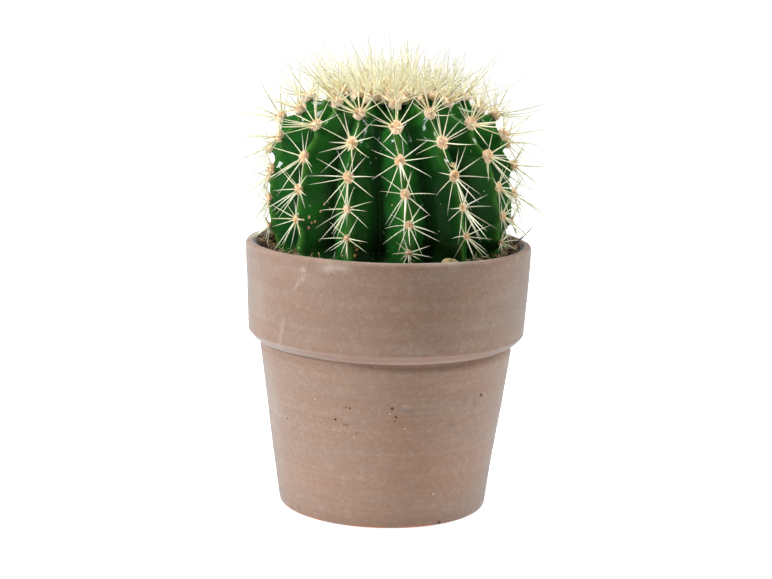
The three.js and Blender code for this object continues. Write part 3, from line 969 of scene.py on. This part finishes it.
    def all_areoles(self) -> tuple[Array, Array]:
        """Every grown areole's rib and step, from the soil up to the crown."""
        rib = np.repeat(np.arange(self.ribs), 8)
        step = np.tile(np.arange(8), self.ribs) + (rib * self.lead) % 1
        keep = self.length_to(step) < np.interp(self.angle_across(self.crown), *self.crest())
        return rib[keep], step[keep]

    def angle_across(self, radius: Array) -> Array:
        """The angle, above the widest level, whose outline has a radius."""
        return np.arccos((radius / self.radius) ** (1 / self.power))

    def spot(self, turn: float, height: float) -> tuple[Array, Array]:
        """A place on the skin and its axes: sideways, up and outwards, from differences of the surface."""
        angle, nudge = float(self.angle_at(np.array(height))), 0.01
        turns = np.array([turn, turn + nudge, turn])
        angles = np.array([angle, angle, angle + nudge])
        points, _ = self.surface(turns, angles)
        side, up = unit(points[1] - points[0]), unit(points[2] - points[0])
        out = unit(np.cross(side, up))
        return points[0], np.stack([side, np.cross(out, side), out])


@dataclass(frozen=True)
class Stem:
    """The stem's skin as one closed piece."""

    shape: StemShape = StemShape()
    per_rib: int = 38
    rows: int = 172
    buried_rows: int = 9

    def build(self, skin: Skin) -> bpy.types.Object:
        """Lays the skin over a grid of azimuths and outline angles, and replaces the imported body.

        Args:
            skin: its finish.

        Returns:
            The piece.
        """
        columns = self.per_rib * self.shape.ribs
        turn = self.shape.first + np.arange(columns)[None, :] * TAU / columns
        low = float(self.shape.angle_at(np.array(self.shape.soil - 6)))
        buried = np.linspace(-math.pi / 2 + 0.02, low, self.buried_rows, endpoint=False)
        shown = low + (math.pi / 2 - 0.012 - low) * np.linspace(0, 1, self.rows)
        angle = np.concatenate([buried, shown])[:, None]
        points, values = self.shape.surface(turn, angle)
        rows = len(angle)
        pole = np.arange(columns)[None]
        body = Gathered()
        body.add(points, [strip(rows, columns), pole[:, ::-1], pole + (rows - 1) * columns], **values)
        piece = body.piece("stem_skin", skin.material())
        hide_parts("cactus_body")
        return piece


# ---- areoles and spines ----
@dataclass(frozen=True)
class Areoles:
    """Felt pads on the crests, and the spines that stand in them."""

    shape: StemShape = StemShape()
    low_width: float = 2.9
    high_width: float = 5.9
    full_step: float = 4.0
    taller: float = 1.18
    thickness: float = 0.42
    hairs: int = 90
    hair_length: float = 1.9
    hair_radius: float = 0.055
    radial_bearings: tuple[float, ...] = (-12, 22, 55, 88, 122, 158, -155, -118, -84, -52)
    radial_radius: float = 0.36
    central_radius: float = 0.51
    upright: float = 5.0
    tallest: float = 250.0
    lip: float = 141.8
    within: float = 66.5

    def widths(self, step: Array) -> Array:
        """Pad width: from the low width at the soil to the high one at the full step."""
        return blend(self.low_width, self.high_width, np.clip(step / self.full_step, 0, 1) ** 1.1)

    def felt(self, finish: Felt) -> bpy.types.Object:
        """All the pads under the crown: lumpy domes with short hairs standing out of them.

        Args:
            finish: the felt.

        Returns:
            The piece.
        """
        rng = np.random.default_rng(21)
        rib, step = self.shape.all_areoles()
        areole = self.shape.areoles(rib, step)
        width = self.widths(step) * rng.uniform(0.92, 1.08, len(step))
        axes = np.stack([areole["side"], areole["up"] * self.taller, areole["out"] * self.thickness * 2], 1)
        axes = axes * (width / 2)[:, None, None]
        points, faces = ball(9, 16)
        lumpy = points[None] * (1 + 0.14 * rng.normal(size=(len(step), len(points), 1)))
        young = np.clip((step - 2.6) / 2.4, 0, 1)
        aside = 0.3 * rng.normal(size=(len(step), 2, 1))
        middle = np.hypot(points[:, 0] - aside[:, 0], points[:, 1] - aside[:, 1])
        core = smoothstep(middle, 0.75, 0.1) * (points[:, 2] > 0)
        core = core * (rng.uniform(0.35, 0.95, len(step)) * (1 - 0.6 * young))[:, None]
        felt = Gathered()
        placed, placed_faces = copies(lumpy, faces, axes, areole["at"])
        felt.add(placed, placed_faces, young=np.repeat(young, len(points)), core=core.ravel())
        sprout = rng.normal(size=(len(step), self.hairs, 3))
        sprout[..., 2] = np.abs(sprout[..., 2])
        sprout = unit(sprout)
        roots = areole["at"][:, None] + np.einsum("ahi,aij->ahj", sprout, axes) * 0.93
        headings = unit(np.einsum("ahi,aij->ahj", sprout + 0.35 * rng.normal(size=sprout.shape), axes))
        count = roots.shape[0] * roots.shape[1]
        lengths = self.hair_length * rng.uniform(0.4, 1, count) * np.repeat(width / self.high_width, self.hairs)
        hair, hair_faces, _ = needles(roots.reshape(-1, 3), headings.reshape(-1, 3), lengths,
                                      np.full(count, self.hair_radius), 0.3 * rng.normal(size=(count, 3)), 3, 3)
        felt.add(hair, hair_faces, young=0.4, core=0.0)
        piece = felt.piece("areole_felt", finish.material())
        return piece

    def cluster(self, rib: int, gathered: Gathered, rng: np.random.Generator) -> None:
        """Adds one rib's spines under the crown: a star of radials and one to three centrals for each areole.

        Args:
            rib: the rib, from 0.
            gathered: where the spines go.
            rng: the rib's own random numbers.
        """
        ribs, steps = self.shape.all_areoles()
        steps = steps[ribs == rib]
        areole = self.shape.areoles(np.full(len(steps), rib), steps)
        for i, step in enumerate(steps):
            grown = float(np.clip(0.74 + 0.14 * step, 0, 1.36))
            self.star(gathered, rng, {name: value[i] for name, value in areole.items()}, grown,
                      float(self.widths(np.array(step))), float(np.clip((step - 3.0) / 1.3, 0, 1)))

    def star(self, gathered: Gathered, rng: np.random.Generator, areole: dict[str, Array], grown: float,
             width: float, young: float) -> None:
        """Adds one areole's spines.

        Args:
            gathered: where they go.
            rng: random numbers.
            areole: the areole's place and directions.
            grown: their size.
            width: the pad's width.
            young: how golden they are and how many upright ones stand among them, 0 to 1.
        """
        bearings = np.array(self.radial_bearings) + rng.normal(0, 8, len(self.radial_bearings))
        bearings = bearings[rng.permutation(len(bearings))[: rng.integers(8, len(bearings) + 1)]]
        count, extra = len(bearings), int(rng.integers(1, 4))
        upright = round(self.upright * young)
        down = np.abs(bearings) / 180
        tilt = np.radians(np.concatenate([
            rng.normal(68, 6, count) - 12 * young, rng.normal(34, 9, extra), rng.normal(34, 12, upright)]))
        bearing = np.radians(np.concatenate([
            bearings, 180 + rng.normal(0, 24, extra), rng.normal(0, 75, upright)]))
        length = grown * np.concatenate([
            rng.normal(13.5, 1.6, count) + 4.5 * down, rng.normal(21.5, 2.5, extra),
            rng.normal(17, 2.5, upright)])
        radius = np.concatenate([
            self.radial_radius * rng.uniform(0.8, 1.15, count),
            self.central_radius * rng.uniform(0.75, 1.1, extra),
            self.radial_radius * rng.uniform(0.75, 1.1, upright)])
        local = np.stack([np.sin(tilt) * np.sin(bearing), np.sin(tilt) * np.cos(bearing), np.cos(tilt)], -1)
        axes = np.stack([areole["side"], areole["up"], areole["out"]])
        headings = local @ axes
        length = np.minimum(length, (self.tallest - areole["at"][2]) / np.maximum(headings[:, 2], 0.1))
        roots = areole["at"] + (local * [width * 0.3, width * 0.34, width * 0.3]) @ axes
        bends = 0.05 * rng.normal(size=headings.shape) + [0, 0, blend(-0.03, 0.08, young)]
        length = length * self.clear(roots, (headings + bends) * length[:, None])
        points, faces, along = needles(roots, headings, length, radius * (1.1 - 0.12 * grown), bends)
        tone = np.repeat(rng.uniform(0, 1, len(length)), len(points) // len(length))
        gathered.add(points, faces, along=along, tone=tone, young=0.5 * young)

    def clear(self, roots: Array, reach: Array) -> Array:
        """How much of each spine stays clear of the pot: its share up to the lip or the soil in its way.

        Args:
            roots: where the spines start.
            reach: from there to their tips.

        Returns:
            A share from 0.2 to 1 for each spine.
        """
        share = np.linspace(0, 1, 41)
        path = roots[:, None] + share[None, :, None] * reach[:, None]
        outside = np.hypot(path[..., 0], path[..., 1]) > self.within
        blocked = (outside & (path[..., 2] < self.lip)) | (path[..., 2] < self.shape.soil + 1)
        first = np.where(blocked.any(1), blocked.argmax(1), len(share) - 1)
        return np.maximum(share[first], 0.2)

    def build(self, felt: Felt, spine: Spine) -> None:
        """Makes the felt piece and one piece of spines for each rib, in place of that rib's packed clusters.

        Args:
            felt: the pads' finish.
            spine: the spines' finish.
        """
        self.felt(felt)
        ivory = spine.material()
        for rib in range(self.shape.ribs):
            gathered = Gathered()
            self.cluster(rib, gathered, np.random.default_rng(100 + rib))
            piece = gathered.piece(f"spines_{rib + 1:02d}", ivory)
            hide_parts(*[f"spines_rib{rib + 1:02d}_row{row}" for row in range(1, 5)])


@dataclass(frozen=True)
class Crown:
    """The growing point: young areoles crowded together in wool, with a dense tuft of upright spines."""

    shape: StemShape = StemShape()
    reach: float = 25.0
    thickness: float = 3.0
    rings: tuple[float, ...] = (30.5, 25.0, 19.5, 14.0, 9.5)
    ring_step: float = 5.0
    pad_width: float = 5.2
    spines_each: int = 8
    length: float = 28.0
    tallest: float = 252.0
    lean: float = 1.2
    hairs: int = 1100

    def top(self, radius: Array) -> Array:
        """Height of the body's outline at a distance from the axis."""
        shape = self.shape
        power = 2 / shape.power
        return shape.level + shape.rise * (1 - (radius / shape.radius) ** power) ** (1 / power)

    def mound(self, radius: Array, azimuth: Array) -> Array:
        """Height of the wool: a bulge over the body's top, broken into tufts by waves."""
        bulge = np.sqrt(np.clip(1 - (radius / self.reach) ** 2, 0, 1))
        spot = around(radius, azimuth, np.zeros_like(radius * azimuth))
        return self.top(radius) - 2.2 + self.thickness * bulge * (1 + 0.25 * waves(spot, 11, 31)) \
            + 0.5 * bulge * waves(spot, 3.2, 32)

    def young(self) -> dict[str, Array]:
        """The young areoles' places and directions, in rings that climb from rib to rib."""
        rib = np.repeat(np.arange(self.shape.ribs), len(self.rings))
        radius = np.tile(self.rings, self.shape.ribs) - (rib * self.shape.lead) % 1 * self.ring_step
        return self.shape.areoles(rib, self.shape.steps_along(self.shape.angle_across(radius)))

    def wool(self, finish: bpy.types.Material) -> None:
        """Makes the cushion, the young pads and their hairs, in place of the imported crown.

        Args:
            finish: the wool's material.
        """
        rng = np.random.default_rng(41)
        radius = np.linspace(self.reach, 0.3, 48)[:, None]
        azimuth = np.arange(96)[None, :] * TAU / 96
        upper = around(radius, azimuth, self.mound(radius, azimuth))
        lower = around(radius[::-1], azimuth, self.top(radius[::-1]) - 5 + 0 * azimuth)
        wool = Gathered()
        wool.add(np.concatenate([upper, lower]), [strip(len(radius) * 2, 96, loop=True)], young=1.0, core=0.0)
        areole = self.young()
        count = len(areole["radius"])
        size = self.pad_width / 2 * rng.uniform(0.8, 1.1, count) * blend(0.7, 1, areole["radius"] / self.reach)
        axes = np.stack([areole["side"], areole["up"] * 0.9, areole["out"] * 0.9], 1) * size[:, None, None]
        points, faces = ball(7, 12)
        lumpy = points[None] * (1 + 0.12 * rng.normal(size=(count, len(points), 1)))
        placed, placed_faces = copies(lumpy, faces, axes, areole["at"] + areole["out"] * 0.3)
        wool.add(placed, placed_faces, young=np.repeat(rng.uniform(0.3, 1, count), len(points)), core=0.0)
        share = np.sqrt(rng.uniform(0, 1, self.hairs))
        turn = rng.uniform(0, TAU, self.hairs)
        roots = around(share * 30, turn, self.top(share * 30) + 0.4)
        headings = unit(around(share * 0.8, turn, np.ones(self.hairs)) + 0.5 * rng.normal(size=(self.hairs, 3)))
        hair, faces, _ = needles(roots, headings, rng.uniform(1.5, 4.5, self.hairs), np.full(self.hairs, 0.08),
                                 0.3 * rng.normal(size=(self.hairs, 3)), 3, 3)
        wool.add(hair, faces, young=1.0, core=0.0)
        cushion = wool.piece("crown_wool", finish)
        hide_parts("woolly_crown")

    def spines(self, finish: bpy.types.Material) -> None:
        """Makes the tuft: a sheaf from each young areole, leaning out the further it is from the axis.

        Args:
            finish: the spines' material.
        """
        rng = np.random.default_rng(42)
        areole = {name: np.repeat(value, self.spines_each, 0) for name, value in self.young().items()}
        count = len(areole["radius"])
        away = areole["at"] * [1, 1, 0] / areole["radius"][:, None]
        out = (areole["radius"] / self.shape.crown) ** 1.3
        own = 0.26 * rng.normal(size=(count // self.spines_each, 3))
        spread = np.repeat(own, self.spines_each, 0) + 0.36 * rng.normal(size=(count, 3))
        lean = self.lean * out[:, None] * away * rng.uniform(0.3, 1.4, (count, 1))
        headings = unit([0, 0, 1] + lean + spread)
        roots = areole["at"] + 0.9 * rng.normal(size=(count, 3)) * [1, 1, 0.3]
        lengths = self.length * blend(0.42, 1.2, rng.uniform(0, 1, count) ** 1.5) * blend(0.8, 1.0, out)
        lengths = lengths * np.repeat(rng.uniform(0.78, 1.08, count // self.spines_each), self.spines_each)
        lengths = np.minimum(lengths, (self.tallest - roots[:, 2]) / np.maximum(headings[:, 2], 0.1))
        bends = 0.11 * rng.normal(size=(count, 3)) + [0, 0, 0.04]
        points, faces, along = needles(roots, headings, lengths, rng.uniform(0.42, 0.72, count), bends)
        golden = np.repeat(rng.uniform(0, 1, count // self.spines_each) ** 1.3, self.spines_each)
        each = len(points) // count
        tuft = Gathered()
        tuft.add(points, faces, along=along, tone=np.repeat(rng.uniform(0.7, 1, count), each),
                 young=np.repeat(golden * rng.uniform(0.6, 1, count), each))
        tuft.piece("crown_spines", finish)

    def build(self, felt: bpy.types.Material, spine: bpy.types.Material) -> None:
        """Makes the wool and its spines."""
        self.wool(felt)
        self.spines(spine)


@dataclass(frozen=True)
class StemMarks:
    """Corky scabs and pale dots on the skin, and the dry scraps that lie on the plant."""

    shape: StemShape = StemShape()
    scabs: Spots = (
        (-39.3, 156.1, 0.8), (-36.7, 165.0, 0.6), (-34.6, 162.7, 0.5), (-37.7, 161.3, 0.7), (-41.5, 158.4, 0.9),
        (-43.4, 157.1, 0.7), (-47.8, 156.6, 0.6), (-42.0, 152.7, 1.0), (-40.6, 155.4, 0.7), (-15.6, 146.1, 0.9),
        (-13.6, 147.8, 0.8), (-15.1, 144.1, 1.0), (-15.7, 141.0, 0.9), (2.2, 167.5, 0.6), (-46.3, 151.6, 0.9),
        (-54.8, 167.5, 0.5), (-53.6, 154.2, 0.7), (-22.1, 140.5, 0.7), (-28.6, 183.3, 0.5), (-30.2, 155.5, 0.6),
        (-35.5, 166.1, 0.5), (73.9, 165.7, 1.3), (104.0, 158.0, 0.9), (107.0, 154.0, 0.7), (133.0, 147.0, 1.0),
        (-101.0, 149.0, 0.9), (-98.0, 153.0, 0.6), (171.0, 143.0, 0.9), (-158.0, 151.0, 0.8))
    dots: Spots = (
        (-81.4, 168.7, 0.4), (-57.4, 180.7, 0.4), (35.5, 184.8, 0.4), (78.2, 204.7, 0.45), (59.1, 194.8, 0.4),
        (-45.0, 173.0, 0.3), (-20.5, 176.0, 0.3), (9.0, 158.0, 0.3), (47.0, 158.0, 0.35), (120.0, 180.0, 0.4),
        (-125.0, 187.0, 0.4))

    def lumps(self, name: str, spots: Spots, finish: bpy.types.Material, seed: int) -> None:
        """Sets small flat lumps on the skin.

        Args:
            name: the piece's name.
            spots: azimuth over the soil in degrees, height and half width of each.
            finish: their material.
            seed: which random outlines they get.
        """
        rng = np.random.default_rng(seed)
        places = [self.shape.spot(math.radians(turn), height) for turn, height, _ in spots]
        size = np.array(spots)[:, 2] * 0.8
        axes = np.stack([axes for _, axes in places]) * size[:, None, None] * [[[1.0], [1.2], [0.45]]]
        points, faces = ball(5, 10)
        ragged = points[None] * (1 + 0.2 * rng.normal(size=(len(size), len(points), 1)).clip(-1.5, 1.5))
        shape = Gathered()
        placed, placed_faces = copies(ragged, faces, axes, np.stack([at for at, _ in places]))
        shape.add(placed, placed_faces, tone=np.repeat(rng.uniform(0, 1, len(size)), len(points)))
        shape.piece(name, finish)

    def scraps(self, finish: bpy.types.Material) -> None:
        """A papery flap on a rib and a crumpled husk on the soil: thin lens shapes curled by the square of x.

        Args:
            finish: their material.
        """
        points, faces = ball(13, 26)
        shape = Gathered()
        places = [self.shape.spot(math.radians(39.6), 187.6)]
        turn = math.radians(27)
        out, up = np.array([math.sin(turn), -math.cos(turn), 0]), np.array([0, 0, 1.0])
        places.append((out * 66 + up * 139.4, np.stack([np.cross(up, out), up, out])))
        sizes, curls = ((2.7, 1.7, 0.3), (5.0, 2.2, 0.4)), (1.2, 1.6)
        for seed, ((at, axes), size, curl) in enumerate(zip(places, sizes, curls)):
            local = points * size
            local[:, 2] += curl * (points[:, 0] ** 2 - 0.3 * points[:, 1]) + 0.35 * waves(local, 3.2, 91 + seed)
            shape.add(*copies(local, faces, axes[None], at[None]), tone=0.2)
        shape.piece("dry_scraps", finish)

    def build(self) -> None:
        """Makes the scabs, the dots and the scraps."""
        cork = Dry("cork_scab", (0.5, 0.28, 0.1), (0.88, 0.66, 0.34), scale=900).material()
        pale = Dry("pale_dot", (0.6, 0.66, 0.5), (0.85, 0.9, 0.75), scale=900).material()
        self.lumps("cork_scabs", self.scabs, cork, 93)
        self.lumps("pale_dots", self.dots, pale, 94)
        husk = Dry("papery_husk", (0.5, 0.36, 0.15), (0.8, 0.68, 0.38), streaks=(1, 1, 3), scale=700)
        self.scraps(husk.material())


# ---- soil ----
@dataclass(frozen=True)
class SoilBed:
    """Potting soil round the stem: a lumpy ring with crumbs and straw on it."""

    shape: StemShape = StemShape()
    pot: ClayPot = ClayPot()
    depth: float = 22.0
    mound: float = 1.2
    bank: float = 5.6
    crumbs: int = 700
    straws: int = 620

    def level(self, radius: Array, azimuth: Array) -> Array:
        """Height of the soil: higher at the stem and banked up at both sides, with lumps of three sizes."""
        spot = around(radius, azimuth, np.zeros_like(radius * azimuth))
        lumps = 0.8 * waves(spot, 13, 51) + 0.5 * waves(spot, 5, 52) + 0.3 * waves(spot, 2.2, 53)
        bank = self.bank * smoothstep(radius, 60, 67) * np.abs(np.sin(azimuth))
        return self.shape.soil + self.mound * (1 - (radius - 50) / 20) + lumps + bank

    def build(self, earth: Earth, straw: Dry) -> None:
        """Makes the bed, its crumbs and its straw, in place of the packed soil.

        Args:
            earth: the soil's finish.
            straw: the straw's finish.
        """
        rng = np.random.default_rng(61)
        outer = float(self.pot.inside(np.array(self.shape.soil))) - 0.7
        radius = np.linspace(outer, 45, 34)[:, None]
        azimuth = np.arange(320)[None, :] * TAU / 320
        upper = around(radius, azimuth, self.level(radius, azimuth))
        lower = around(np.array([[45.0], [outer - 1.5]]), azimuth, self.shape.soil - self.depth)
        bed = Gathered()
        bed.add(np.concatenate([upper, lower]), [strip(36, 320, loop=True)])
        soil = earth.material()
        piece = bed.piece("soil_bed", soil)
        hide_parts("potting_soil")
        points, faces = ball(3, 6)
        where = rng.uniform(54, outer - 0.8, self.crumbs)
        turn = rng.uniform(0, TAU, self.crumbs)
        size = rng.gamma(4, 0.22, self.crumbs).clip(0.4, 2.0)
        axes = unit(rng.normal(size=(self.crumbs, 3, 3))) * size[:, None, None]
        uneven = points[None] * rng.uniform(0.6, 1.15, (self.crumbs, len(points), 1))
        crumbs = Gathered()
        crumbs.add(*copies(uneven, faces, axes, around(where, turn, self.level(where, turn) + size * 0.25)))
        crumbs.piece("soil_crumbs", soil)
        where = rng.uniform(57, outer - 1.2, self.straws)
        turn = rng.uniform(0, TAU, self.straws)
        heading = unit(np.stack([rng.normal(size=self.straws), rng.normal(size=self.straws),
                                 rng.normal(0.05, 0.22, self.straws)], -1))
        length = rng.uniform(3, 11, self.straws)
        middle = around(where, turn, self.level(where, turn) + rng.uniform(0.5, 2.8, self.straws))
        roots = middle - heading * length[:, None] / 2
        points, faces, _ = needles(roots, heading, length, rng.uniform(0.14, 0.34, self.straws),
                                   0.12 * rng.normal(size=(self.straws, 3)), 5, 4, 0.25)
        inside = np.hypot(points[:, 0], points[:, 1])
        limit = np.minimum(1, (outer - 0.3) / inside)
        points[:, :2] *= limit[:, None]
        fibres = Gathered()
        fibres.add(points, faces, tone=np.repeat(rng.uniform(0, 1, self.straws), len(points) // self.straws))
        fibres.piece("soil_straw", straw.material())


@dataclass(frozen=True)
class BarkSplinter:
    """The dark splinter that leans out of the soil over the lip of the pot."""

    foot: Point = (62.5, 9.0, 135.4)
    tip: Point = (77.5, 12.0, 149.6)
    radius: float = 0.85

    def build(self, bark: Dry) -> bpy.types.Object:
        """Carries a ragged section along a slightly bent line from the foot to the tip.

        Args:
            bark: its finish.

        Returns:
            The piece.
        """
        share = np.linspace(0, 1, 15)
        foot, tip = np.array(self.foot), np.array(self.tip)
        path = foot + share[:, None] * (tip - foot) + np.sin(share * math.pi)[:, None] * [0.5, 0.2, -0.6]
        width = self.radius * (0.75 + 0.25 * np.sin(share * 17)) * np.maximum(1 - share, 0.05) ** 0.7
        points, faces = tubes(path[None], width[None], 8)
        points = points + 0.12 * waves(points, 1.6, 71)[:, None] * [0.4, 1, 0.4]
        shape = Gathered()
        shape.add(points, faces, tone=0.2)
        piece = shape.piece("bark_sliver", bark.material())
        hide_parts("bark_splinter")
        return piece


# ---- studio ----
@dataclass(frozen=True)
class Studio:
    """Plain pale floor, soft light from both sides and above, and the camera."""

    aim: Point = (-0.00067, 0.0, 0.11434)
    distance: float = 1.001
    elevation: float = math.radians(10.36)
    roll: float = math.radians(1.54)
    lens: float = 88.27
    sensor: float = 36.0
    ambient: float = 0.075
    mirrored: float = 0.015
    glow: float = 0.7
    far_glow: float = 0.03
    gloss_loss: float = 0.85
    floor_size: float = 14.0
    softboxes: tuple[tuple[str, Point, float, float, Colour], ...] = (
        ("softbox_left", (-1.08, -0.39, 0.65), 0.32, 15.4, (0.965, 0.995, 1.045)),
        ("softbox_right", (1.05, 0.15, 0.75), 0.38, 9.8, (0.98, 0.995, 1.01)),
        ("softbox_top", (-0.1, -0.05, 1.25), 0.35, 12.5, (1.0, 0.99, 0.97)))

    def light(self, name: str, at: Point, size: float, power: float, colour: Colour) -> None:
        """A square softbox turned to the middle of the object.

        Args:
            name: its name.
            at: where it stands, in metres.
            size: its side, in metres.
            power: its power, in watts.
            colour: its colour.
        """
        lamp = bpy.data.lights.new(name, "AREA")
        lamp.shape, lamp.size, lamp.energy, lamp.color = "SQUARE", size, power, colour
        box = bpy.data.objects.new(name, lamp)
        box.location = at
        box.rotation_euler = (Vector(self.aim) - Vector(at)).to_track_quat("-Z", "Y").to_euler()
        box.visible_camera = False
        bpy.context.scene.collection.objects.link(box)

    def floor(self) -> None:
        """A wide white floor that gives off some light of its own, more of it far from the object."""
        reach = self.floor_size
        mesh = bpy.data.meshes.new("floor")
        corners = [(-reach, -reach, 0), (reach, -reach, 0), (reach, reach, 0), (-reach, reach, 0)]
        mesh.from_pydata(corners, [], [(0, 1, 2, 3)])
        material = bpy.data.materials.new("pale_floor")
        wiring = Wiring.afresh(material)
        place = wiring.place()
        tone = Effect.MOTTLE.on(wiring, place, Scale=3, Low=0.2, High=0.8)
        away = wiring.add("VectorMath", {0: place}, operation="LENGTH").outputs["Value"]
        paths = wiring.add("LightPath").outputs
        seen = paths["Is Camera Ray"]
        mirrored = wiring.calc("MULTIPLY", paths["Is Glossy Ray"], self.gloss_loss)
        own = wiring.add("MapRange", {
            "Value": away, "From Min": 0.15, "From Max": 1.3, "To Min": 0.66, "To Max": 1.0})
        lent = wiring.add("MapRange", {
            "Value": away, "From Min": 0.2, "From Max": 0.9, "To Min": self.glow, "To Max": self.far_glow})
        lent = wiring.calc("MULTIPLY", lent.outputs[0], wiring.calc("SUBTRACT", 1.0, mirrored))
        strength = wiring.add("Mix", {0: seen, 2: lent, 3: own.outputs[0]}).outputs[0]
        pale = wiring.mix(tone, (0.83, 0.83, 0.83), (0.85, 0.85, 0.85))
        dim = wiring.calc("MAXIMUM", wiring.share(away, 0.25, 0.7), mirrored)
        unseen = wiring.calc("MULTIPLY", dim, wiring.calc("SUBTRACT", 1.0, seen))
        shader = wiring.add("BsdfPrincipled", {
            "Base Color": wiring.mix(unseen, pale, (0.05, 0.05, 0.05)), "Roughness": 0.9,
            "Specular IOR Level": 0.1, "Emission Color": (1, 1, 1, 1), "Emission Strength": strength})
        wiring.add("OutputMaterial", {"Surface": shader.outputs[0]})
        mesh.materials.append(material)
        floor = bpy.data.objects.new("floor", mesh)
        floor.location.z = -0.0001
        bpy.context.scene.collection.objects.link(floor)

    def surroundings(self) -> None:
        """An even white world, dimmer as a light than it is seen and dimmer still where it is mirrored."""
        world = bpy.data.worlds.new("surroundings")
        wiring = Wiring.afresh(world)
        paths = wiring.add("LightPath").outputs
        lent = wiring.add("MapRange", {
            "Value": paths["Is Glossy Ray"], "To Min": self.ambient, "To Max": self.mirrored}).outputs[0]
        strength = wiring.add("MapRange", {
            "Value": paths["Is Camera Ray"], "To Min": lent, "To Max": 1.0}).outputs[0]
        sky = wiring.add("Background", {"Color": (1, 1, 1, 1), "Strength": strength})
        wiring.add("OutputWorld", {"Surface": sky.outputs[0]})
        bpy.context.scene.world = world

    def camera(self) -> None:
        """The camera, turned to its aim and rolled a little."""
        tilt = Vector((0, math.sin(self.elevation), math.cos(self.elevation)))
        back = Vector((0, -math.cos(self.elevation), math.sin(self.elevation)))
        right = Vector((1, 0, 0))
        up = tilt * math.cos(self.roll) - right * math.sin(self.roll)
        right = right * math.cos(self.roll) + tilt * math.sin(self.roll)
        lens = bpy.data.cameras.new("camera")
        lens.lens, lens.sensor_width = self.lens, self.sensor
        camera = bpy.data.objects.new("camera", lens)
        turned = Matrix((right, up, back)).transposed().to_4x4()
        camera.matrix_world = Matrix.Translation(Vector(self.aim) + back * self.distance) @ turned
        bpy.context.scene.collection.objects.link(camera)
        bpy.context.scene.camera = camera

    def build(self) -> None:
        """Makes the floor, the surroundings, the lights and the camera."""
        self.floor()
        self.surroundings()
        for softbox in self.softboxes:
            self.light(*softbox)
        self.camera()
        bpy.context.scene.view_settings.view_transform = "Standard"


def main() -> None:
    """Builds the whole object."""
    logging.basicConfig(level=logging.INFO, format="%(name)s %(message)s")
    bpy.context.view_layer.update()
    Studio().build()
    ClayPot().build(Clay())
    straw = Dry("dry_straw", (0.24, 0.15, 0.07), (0.64, 0.48, 0.27))
    SoilBed().build(Earth(), straw)
    Stem().build(Skin())
    Areoles().build(Felt(), Spine())
    Crown().build(bpy.data.materials["areole_felt"], bpy.data.materials["spine_ivory"])
    StemMarks().build()
    PotFlecks().build()
    BarkSplinter().build(Dry("dark_bark", (0.012, 0.009, 0.008), (0.05, 0.035, 0.026), scale=900))


if __name__ == "__main__":
    main()
